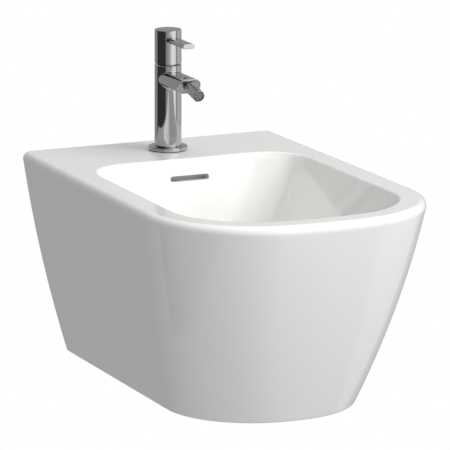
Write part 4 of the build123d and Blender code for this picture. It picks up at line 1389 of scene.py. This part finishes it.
@dataclass
class Nozzle:
    """Ball-jointed spray nozzle with its collar and the drilled insert, about the ball's centre."""

    centre: tuple[float, float, float] = (0.0, -122.0891, 162.3258)
    drop: float = 14.0
    ball: float = 6.0
    neck: float = 3.8
    radius: float = 7.5
    start: float = 6.6
    end: float = 33.8
    bore: float = 2.2
    insert_radius: float = 6.4
    insert_front: float = 33.0
    insert_back: float = 29.0
    chamber: float = 3.0
    hole: float = 0.6
    hole_rows: tuple[tuple[float, int], ...] = ((0.0, 1), (2.2, 6), (4.4, 12))
    collar_outer: float = 8.2
    collar_mouth: float = 6.3
    collar_back: float = 0.4
    collar_seat: float = 2.3
    collar_front: float = 3.0

    @property
    def axis(self) -> tuple[float, float, float]:
        """Direction in which the nozzle points."""
        return 0.0, -cos(radians(self.drop)), -sin(radians(self.drop))

    def barrel(self) -> bpy.types.Object:
        """Ball, neck and barrel with its rolled rim and water way.

        Returns:
            The nozzle.
        """
        seat = degrees(asin(self.bore / self.ball))
        root = degrees(asin(self.neck / self.ball))
        neck_meets = sqrt(self.ball**2 - self.neck**2)
        profile = [
            *arc((0, 0), self.ball, -90 + seat, 90 - root, 30),
            (self.neck, (neck_meets + self.start) / 2),
            (self.neck, self.start - 0.5),
            (self.neck + 0.5, self.start),
            (self.radius - 1.0, self.start),
            *arc((self.radius - 1.0, self.start + 1.0), 1.0, -80, 0, 5),
            *[(self.radius, self.start + (self.end - self.start) * share) for share in (0.25, 0.5, 0.75)],
            (self.radius, self.end - 0.4),
            *arc((self.radius - 0.45, self.end - 0.45), 0.45, 20, 90, 4),
            (self.insert_radius + 0.25, self.end),
            (self.insert_radius, self.end - 0.25),
            (self.insert_radius, self.insert_back),
            (self.insert_radius - 1.0, self.insert_back),
            (self.insert_radius - 1.0, self.insert_back - self.chamber),
            (self.bore, self.insert_back - self.chamber),
        ]
        return settle(turned(profile, self.centre, self.axis, 192), "nozzle_plated")

    def insert(self) -> bpy.types.Object:
        """Spray insert: a disc drilled with rings of jets.

        Returns:
            The insert.
        """
        edge = 0.2
        disc = turned(
            [
                (0, self.insert_back),
                (self.insert_radius - 0.02, self.insert_back),
                (self.insert_radius - 0.02, self.insert_front - edge),
                (self.insert_radius - edge, self.insert_front),
                (0, self.insert_front),
            ],
            self.centre,
            self.axis,
            96,
            closed=False,
        )
        side = Vector((1, 0, 0))
        up = Vector(self.axis).cross(side)
        holes = []
        for radius, count in self.hole_rows:
            for i in range(count):
                turn = 2 * pi * i / count
                place = Vector(self.centre) + (side * cos(turn) + up * sin(turn)) * radius
                back, front = self.insert_back - 1, self.insert_front + 1
                holes.append(cylinder(self.hole, back, front, place, self.axis, 20))
        combine(disc, [merge(*holes)], "DIFFERENCE")
        return settle(disc, "spray_insert_drilled")

    def jets(self) -> bpy.types.Object:
        """Soft tips of the spray holes, one small ring each, just proud of the insert.

        Returns:
            The tips as one piece.
        """
        side = Vector((1, 0, 0))
        up = Vector(self.axis).cross(side)
        front = self.insert_front + 0.25
        tips = []
        for radius, count in self.hole_rows:
            for i in range(count):
                turn = 2 * pi * i / count
                place = Vector(self.centre) + (side * cos(turn) + up * sin(turn)) * radius
                profile = [
                    (self.hole - 0.02, self.insert_back + 0.5),
                    (self.hole - 0.02, front - 0.15),
                    (self.hole - 0.15, front),
                    (self.hole * 0.45, front),
                    (self.hole * 0.45, self.insert_back + 0.5),
                ]
                tips.append(turned(profile, place, self.axis, 16))
        return settle(merge(*tips), "spray_jets_moulded")

    def collar(self) -> bpy.types.Object:
        """Screwed collar that holds the ball in the spout.

        Returns:
            The collar.
        """
        seat = self.ball + 0.09
        low, high = degrees(asin(self.collar_back / seat)), degrees(asin(self.collar_seat / seat))
        profile = [
            *arc((0, 0), seat, low, high, 6),
            (self.collar_mouth - 0.2, self.collar_front - 0.2),
            (self.collar_mouth, self.collar_front),
            (self.collar_outer - 0.3, self.collar_front),
            (self.collar_outer, self.collar_front - 0.3),
            (self.collar_outer, self.collar_back),
        ]
        return settle(turned(profile, self.centre, self.axis, 144), "nozzle_collar_plated")

    def build(self) -> None:
        """Make the nozzle's pieces and hand them over."""
        hand_over(self.barrel(), "nozzle", "chrome", "nozzle")
        hand_over(self.insert(), "nozzle", "black_plastic", "spray_insert")
        hand_over(self.jets(), "nozzle", "white_plastic")
        hand_over(self.collar(), "fixture", "chrome", "nozzle_collar")


@dataclass
class Waste:
    """Waste fitting from the push plug down to the tailpiece."""

    from_wall: float = 250.0
    gasket_foot: float = -77.0
    flange_foot: float = -75.5
    flange_top: float = -72.5
    flange_radius: float = 32.0
    tube: float = 21.5
    bore: float = 18.5
    throat: float = 23.0
    tube_foot: float = -139.5
    window: tuple[float, float, float] = (12.0, -106.5, -90.5)
    plug_radius: float = 31.0
    plug_foot: float = -63.5
    plug_top: float = -59.5
    crown: float = 1.6
    hub_radius: float = 18.2
    hub_foot: float = -69.5
    seal_radius: float = 19.0
    seal_section: float = 1.5
    stem_radius: float = 4.0
    stem_foot: float = -118.1
    wire: float = 0.6
    winds: int = 6
    wind_steps: int = 32
    wire_sides: int = 12
    stroke: float = 8.0
    boss_foot: float = -119.0
    cone_foot: float = -127.0
    slip_foot: float = -128.5
    cone_radius: float = 34.0
    collar_top: float = -141.5
    collar_foot: float = -149.5
    collar_flats: float = 44.0
    nut_flats: float = 56.0
    tail_radius: float = 16.0
    tail_bore: float = 14.2
    tail_foot: float = -183.5

    @property
    def centre(self) -> tuple[float, float, float]:
        """Foot of the drain axis at the level of the wall fixings."""
        return 0.0, -self.from_wall, 0.0

    def turn(
        self, name: str, profile: Sequence[tuple[float, float]], sides: int = 128, closed: bool = True
    ) -> bpy.types.Object:
        """Turn a profile about the drain axis and settle it."""
        return settle(turned(profile, self.centre, sides=sides, closed=closed), name)

    def tube_body(self) -> bpy.types.Object:
        """Flanged tube with its flared throat and two overflow windows.

        Returns:
            The waste body.
        """
        piece = turned(
            [
                (self.flange_radius, self.flange_foot),
                *arc((self.flange_radius - 1, self.flange_top - 1), 1, 0, 90, 6),
                (self.throat + 0.6, self.flange_top),
                (self.throat, self.flange_top - 0.4),
                (self.bore, self.flange_top - 5),
                (self.bore, self.tube_foot),
                (self.tube - 0.6, self.tube_foot),
                (self.tube, self.tube_foot + 0.6),
                (self.tube, self.flange_foot),
            ],
            self.centre,
            sides=160,
        )
        width, low, high = self.window
        half = width / 2
        corners = [(half * cos(t), high - half + half * sin(t)) for t in np.linspace(0, pi, 13)]
        corners += [(half * cos(t), low + half + half * sin(t)) for t in np.linspace(pi, 2 * pi, 13)]
        cut = prism([(x, -self.from_wall - 40, z) for x, z in corners], (0, 80, 0))
        combine(piece, [cut], "DIFFERENCE")
        return settle(piece, "waste_body_plated")

    def plug(self) -> bpy.types.Object:
        """Crowned plug with its hub and the groove of its seal.

        Returns:
            The plug.
        """
        sphere = (self.plug_radius**2 + self.crown**2) / (2 * self.crown)
        steps = 10
        crown = [
            (r, self.plug_top + self.crown - sphere + sqrt(sphere**2 - r**2))
            for r in np.linspace(0, self.plug_radius - 1.2, steps)
        ]
        middle = (self.hub_foot + self.plug_foot) / 2
        groove = [
            (self.seal_radius + self.seal_section * cos(t), middle + self.seal_section * sin(t))
            for t in np.linspace(radians(122), radians(238), 9)
        ]
        return self.turn(
            "plug_plated",
            [
                *crown,
                *arc((self.plug_radius - 1.2, self.plug_top - 1.1), 1.2, 80, 0, 6),
                (self.plug_radius, self.plug_foot + 0.3),
                (self.plug_radius - 0.3, self.plug_foot),
                (self.hub_radius, self.plug_foot),
                *groove,
                (self.hub_radius, self.hub_foot + 0.3),
                (self.hub_radius - 0.3, self.hub_foot),
                (0, self.hub_foot),
            ],
            160,
            closed=False,
        )

    def seal(self) -> bpy.types.Object:
        """Moulded ring seal of the plug.

        Returns:
            The seal.
        """
        bpy.ops.object.select_all(action="DESELECT")
        place = (0, -self.from_wall * MM, (self.hub_foot + self.plug_foot) / 2 * MM)
        bpy.ops.mesh.primitive_torus_add(
            location=place,
            major_radius=self.seal_radius * MM,
            minor_radius=self.seal_section * MM,
            major_segments=128,
            minor_segments=24,
        )
        return settle(bpy.context.object, "plug_seal_moulded")

    def spring(self) -> None:
        """Wind the spring under the plug from round wire and give the coil a mesh of its own."""
        low, high = (np.array(corner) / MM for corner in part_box("plug_spring"))
        centre, rise = (low + high) / 2, high[2] - low[2] - 2 * self.wire
        mean = (high[0] - low[0]) / 2 - self.wire
        around = np.linspace(0, 2 * pi, self.wire_sides, endpoint=False)
        out, up = mean + self.wire * np.cos(around), self.wire * np.sin(around)
        rings = []
        for share in np.linspace(0, 1, self.winds * self.wind_steps + 1):
            turn = 2 * pi * self.winds * share
            x, y = centre[0] + out * cos(turn), centre[1] + out * sin(turn)
            rings.append(np.column_stack((x, y, low[2] + self.wire + rise * share + up)))
        coil = settle(wrap("coil", rings), "plug_spring_wound")
        hand_over(coil, "fixture", "steel", "plug_spring")
        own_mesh(coil)

    def nut(
        self, name: str, flats: float, sides: int, low: float, high: float, bore: float
    ) -> bpy.types.Object:
        """Nut or hexagon collar about the drain axis.

        Args:
            name: Name of the piece.
            flats: Distance across the flats.
            sides: Number of flats.
            low: Level of its foot.
            high: Level of its top.
            bore: Radius of its hole.

        Returns:
            The nut.
        """
        blank = polygon(flats, sides, self.centre, low, high, (0, 0, 1))
        combine(blank, [cylinder(bore, low - 1, high + 1, self.centre, sides=128)], "DIFFERENCE")
        return settle(blank, name)

    def tail(self) -> bpy.types.Object:
        """Tailpiece: spigot, hexagon collar and plain tube.

        Returns:
            The tailpiece.
        """
        hexagon = polygon(self.collar_flats, 6, self.centre, self.collar_foot, self.collar_top, (0, 0, 1))
        bore = cylinder(self.tail_bore, self.collar_foot - 1, self.collar_top + 1, self.centre, sides=128)
        combine(hexagon, [bore], "DIFFERENCE")
        lower = turned(
            [
                (self.tail_radius, self.collar_foot + 1),
                (self.tail_radius, (self.collar_foot + self.tail_foot) / 2),
                (self.tail_radius, self.tail_foot + 0.5),
                (self.tail_radius - 0.5, self.tail_foot),
                (self.tail_bore + 0.3, self.tail_foot),
                (self.tail_bore, self.tail_foot + 0.3),
                (self.tail_bore, self.collar_foot + 1),
            ],
            self.centre,
            sides=128,
        )
        sleeve = ring_profile(self.bore - 0.02, self.tail_bore, self.collar_top - 1, self.tube_foot + 10)
        upper = turned(sleeve, self.centre)
        return settle(merge(hexagon, lower, upper), "tailpiece_plated")

    def build(self) -> None:
        """Make the waste's pieces and hand them over."""
        tube_bore = self.tube + 0.1
        hand_over(self.tube_body(), "fixture", "chrome", "waste_body")
        hand_over(self.plug(), "plug", "chrome", "plug")
        hand_over(self.seal(), "plug", "rubber", "plug_seal")
        self.spring()
        stem = self.turn(
            "plug_stem_turned",
            [(0, self.hub_foot), (self.stem_radius, self.hub_foot), (self.stem_radius, self.stem_foot + 0.4),
             (self.stem_radius - 0.4, self.stem_foot), (0, self.stem_foot)],
            64,
            closed=False,
        )
        hand_over(stem, "plug", "steel", "plug_stem")
        under_flange = ring_profile(self.flange_radius - 1, tube_bore, self.gasket_foot, self.flange_foot)
        gasket = self.turn("flange_gasket_moulded", under_flange)
        hand_over(gasket, "fixture", "rubber", "flange_gasket")
        cone = self.turn(
            "cone_gasket_moulded",
            [
                (tube_bore, self.cone_foot),
                *arc((self.cone_radius - 0.8, self.cone_foot + 0.8), 0.8, -90, 0, 4),
                *arc((self.cone_radius - 0.8, self.boss_foot - 0.8), 0.8, 0, 90, 4),
                (27.9, self.boss_foot),
                (tube_bore, self.boss_foot + 4),
            ],
        )
        hand_over(cone, "fixture", "rubber", "cone_gasket")
        under_cone = ring_profile(self.cone_radius, tube_bore, self.slip_foot, self.cone_foot)
        slip = self.turn("slip_ring_moulded", under_cone)
        hand_over(slip, "fixture", "white_plastic", "slip_ring")
        nut = self.nut("back_nut_turned", self.nut_flats, 8, self.tube_foot, self.slip_foot, self.tube + 0.02)
        hand_over(nut, "fixture", "brass", "back_nut")
        under_tube = ring_profile(self.tube, self.bore, self.collar_top, self.tube_foot)
        washer = self.turn("tail_seal_moulded", under_tube)
        hand_over(washer, "fixture", "rubber", "tail_seal")
        hand_over(self.tail(), "fixture", "chrome", "tailpiece")


@dataclass
class Fixings:
    """Wall sleeves, washers and nuts, and the clamp under the deck that holds the tap."""

    spacing: float = 180.0
    sleeve: tuple[float, float] = (10.9, 6.5)
    flange: tuple[float, float, float] = (16.0, 18.0, 21.0)
    washer: tuple[float, float] = (15.0, 23.5)
    nut_flats: float = 18.0
    nut_end: float = 33.5
    thread: float = 6.0
    tap_from_wall: float = 60.0
    stud: tuple[float, float, float] = (3.0, 21.0, 81.0)
    stud_y: float = -48.5
    stud_pitch: float = 1.25
    clamp_nut: tuple[float, float, float] = (10.0, 38.5, 50.5)

    def wall_side(self) -> None:
        """Make both sets of sleeve, washer and nut."""
        outer, inner = self.sleeve
        flange, root, face = self.flange
        washer, end = self.washer
        sets = {"sleeves": [], "washers": [], "nuts": []}
        for side in (-1, 1):
            centre = (side * self.spacing / 2, 0, 0)
            way = (0, -1, 0)
            profile = [
                (inner, 0),
                (outer - 0.5, 0),
                (outer, 0.5),
                (outer, root),
                *arc((flange - 0.6, root + 0.6), 0.6, -90, 0, 3),
                *arc((flange - 0.6, face - 0.6), 0.6, 0, 90, 4),
                (inner + 0.3, face),
                (inner, face - 0.3),
            ]
            sets["sleeves"].append(turned(profile, centre, way))
            sets["washers"].append(turned(ring_profile(washer, inner, face, end, 0.4), centre, way))
            nut = polygon(self.nut_flats, 6, centre, end, self.nut_end, way)
            thread = cylinder(self.thread, end - 1, self.nut_end + 1, centre, way)
            sets["nuts"].append(combine(nut, [thread], "DIFFERENCE"))
        for kind, slot in (("sleeves", "white_plastic"), ("washers", "steel"), ("nuts", "steel")):
            hand_over(settle(merge(*sets[kind]), f"wall_{kind}_pair"), "fixture", slot, f"wall_{kind}")

    def under_deck(self) -> None:
        """Make the threaded stud and its nut."""
        radius, low, high = self.stud
        centre = (0, self.stud_y, 0)
        chamfer, depth, root, crest = 0.5, 0.45, 0.5, 0.12
        crests = [(0.0, low), (radius - chamfer, low)]
        turns = int((high - low) / self.stud_pitch) - 1
        for i in range(turns):
            level = low + self.stud_pitch * (i + 0.5)
            crests += [(radius - depth, level - root), (radius, level - crest)]
            crests += [(radius, level + crest), (radius - depth, level + root)]
        crests += [(radius - chamfer, high), (0.0, high)]
        stud = turned(crests, centre, sides=40, closed=False)
        hand_over(settle(stud, "tap_stud_threaded"), "fixture", "steel", "tap_stud")
        flats, foot, top = self.clamp_nut
        nut = polygon(flats, 6, centre, foot, top, (0, 0, 1))
        combine(nut, [cylinder(radius, foot - 1, top + 1, centre)], "DIFFERENCE")
        hand_over(settle(nut, "clamp_nut_long"), "fixture", "steel", "clamp_nut")

    def build(self) -> None:
        """Make every fixing."""
        self.wall_side()
        self.under_deck()


@dataclass
class Studio:
    """Camera at the photograph's angle, pale floor, soft lights."""

    azimuth: float = -24.502
    pitch: float = 12.295
    roll: float = 0.155
    place: tuple[float, float, float] = (-2629.65, -6003.21, 1389.03)
    lens: float = 421.70
    floor_level: float = -330.0
    floor_size: float = 9000.0
    ambient: float = 0.40
    floor_glow: float = 1.0
    aim: Triple = (0, -0.25, 0)
    reflectors: tuple[tuple[str, Triple, Triple, Size, float], ...] = (
        ("dark_side", (-2.5, -0.45, -0.2), (1, 0, 0), (4.6, 4.2), 0.05),
        ("front_dim", (-1.25, -2.6, -0.3), (0, 1, 0), (0.7, 3.0), 0.45),
        ("front_low", (-0.625, -2.6, -0.3), (0, 1, 0), (0.55, 3.0), 0.62),
        ("front_mid", (-0.075, -2.6, -0.3), (0, 1, 0), (0.55, 3.0), 0.9),
        ("front_bright", (1.4, -2.6, -0.3), (0, 1, 0), (2.4, 3.0), 1.35),
        ("pale_side", (2.8, -0.3, -0.3), (-1, 0, 0), (3.0, 4.6), 0.72),
        ("soft_key", (2.2, -3.35, 3.25), (-0.42, 0.6, -0.63), (3.0, 3.0), 3.0),
    )
    lamps: tuple[tuple[str, Triple, Size, float], ...] = (
        ("key", (2.6, -3.15, 3.25), (3.0, 3.0), 205.0),
        ("front", (-0.6, -4.5, 0.3), (3.0, 2.0), 58.0),
        ("top", (0.2, -0.4, 4.0), (3.0, 3.0), 58.0),
    )

    def camera(self) -> None:
        """Create the camera."""
        data = bpy.data.cameras.new("view")
        data.lens = self.lens
        data.sensor_width = 36.0
        data.clip_end = 50.0
        camera = bpy.data.objects.new("view", data)
        bpy.context.scene.collection.objects.link(camera)
        turn, tip, roll = radians(self.azimuth), radians(self.pitch), radians(self.roll)
        level = Vector((cos(turn), sin(turn), 0))
        ahead = Vector((-sin(turn) * cos(tip), cos(turn) * cos(tip), -sin(tip)))
        above = level.cross(ahead)
        right = level * cos(roll) + above * sin(roll)
        up = above * cos(roll) - level * sin(roll)
        basis = Matrix((right, up, -ahead)).transposed()
        camera.matrix_world = Matrix.Translation(Vector(self.place) * MM) @ basis.to_4x4()
        bpy.context.scene.camera = camera

    def panel(
        self,
        name: str,
        place: Sequence[float],
        facing: Sequence[float],
        size: Sequence[float],
        glow: float,
        seen_by: str,
    ) -> None:
        """Stand up one plain panel that only the camera or only shiny surfaces can see.

        Args:
            name: Name of the panel.
            place: Its middle, in metres.
            facing: Direction of its normal.
            size: Width and height in metres.
            glow: Brightness that it gives off.
            seen_by: Either camera or glossy.
        """
        bpy.ops.object.select_all(action="DESELECT")
        bpy.ops.mesh.primitive_plane_add(size=1)
        panel = bpy.context.object
        panel.name = name
        turn = Vector(facing).to_track_quat("Z", "Y").to_matrix().to_4x4()
        panel.matrix_world = Matrix.Translation(Vector(place)) @ turn @ Matrix.Diagonal((*size, 1, 1))
        for ray in ("camera", "diffuse", "glossy", "transmission", "shadow"):
            setattr(panel, f"visible_{ray}", ray == seen_by)
        material = bpy.data.materials.new(name)
        material.use_nodes = True
        shader = material.node_tree.nodes["Principled BSDF"]
        shader.inputs["Base Color"].default_value = (0, 0, 0, 1)
        shader.inputs["Specular IOR Level"].default_value = 0.0
        shader.inputs["Roughness"].default_value = 1.0
        shader.inputs["Emission Color"].default_value = (1, 1, 1, 1)
        shader.inputs["Emission Strength"].default_value = glow
        panel.data.materials.append(material)

    def light(self, name: str, place: Triple, size: Size, power: float) -> None:
        """Hang one soft area light.

        Args:
            name: Name of the light.
            place: Where it hangs, in metres.
            size: Width and height in metres.
            power: Power in watts.
        """
        data = bpy.data.lights.new(name, "AREA")
        data.shape = "RECTANGLE"
        data.size, data.size_y = size
        data.energy = power
        lamp = bpy.data.objects.new(name, data)
        lamp.visible_glossy = False
        bpy.context.scene.collection.objects.link(lamp)
        lamp.location = place
        lamp.rotation_euler = (Vector(self.aim) - Vector(place)).to_track_quat("-Z", "Y").to_euler()

    def build(self) -> None:
        """Set up the camera, the floor, the surrounding light and the lamps."""
        scene = bpy.context.scene
        scene.view_settings.view_transform = "Standard"
        world = bpy.data.worlds.new("studio")
        scene.world = world
        world.use_nodes = True
        world.node_tree.nodes["Background"].inputs["Color"].default_value = (1, 1, 1, 1)
        world.node_tree.nodes["Background"].inputs["Strength"].default_value = self.ambient
        self.camera()
        floor, side = (0, 0, self.floor_level * MM), self.floor_size * MM
        self.panel("floor", floor, (0, 0, 1), (side, side), self.floor_glow, "camera")
        for name, place, facing, size, glow in self.reflectors:
            self.panel(name, place, facing, size, glow, "glossy")
        for name, place, size, power in self.lamps:
            self.light(name, place, size, power)


def dress_frame(frame: dict) -> None:
    """Give every CAD node the material of its slot.
    """
    slots = {part["node"]: part["material_slot"] for part in frame["record"]["subparts"]}
    for name, node in frame["nodes"].items():
        node.data.materials.clear()
        node.data.materials.append(SLOT_FINISH[slots[name]].dress())


def main() -> None:
    """Build every sub-assembly in order."""
    logging.basicConfig(level=logging.INFO, format="%(message)s")
    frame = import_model()
    dress_frame(frame)
    Studio().build()
    body = CeramicBody().build()
    hand_over(body, "fixture", "glazed_ceramic", "ceramic_body")
    Tap().build()
    Nozzle().build()
    Waste().build()
    Fixings().build()


if __name__ == "__main__":
    main()
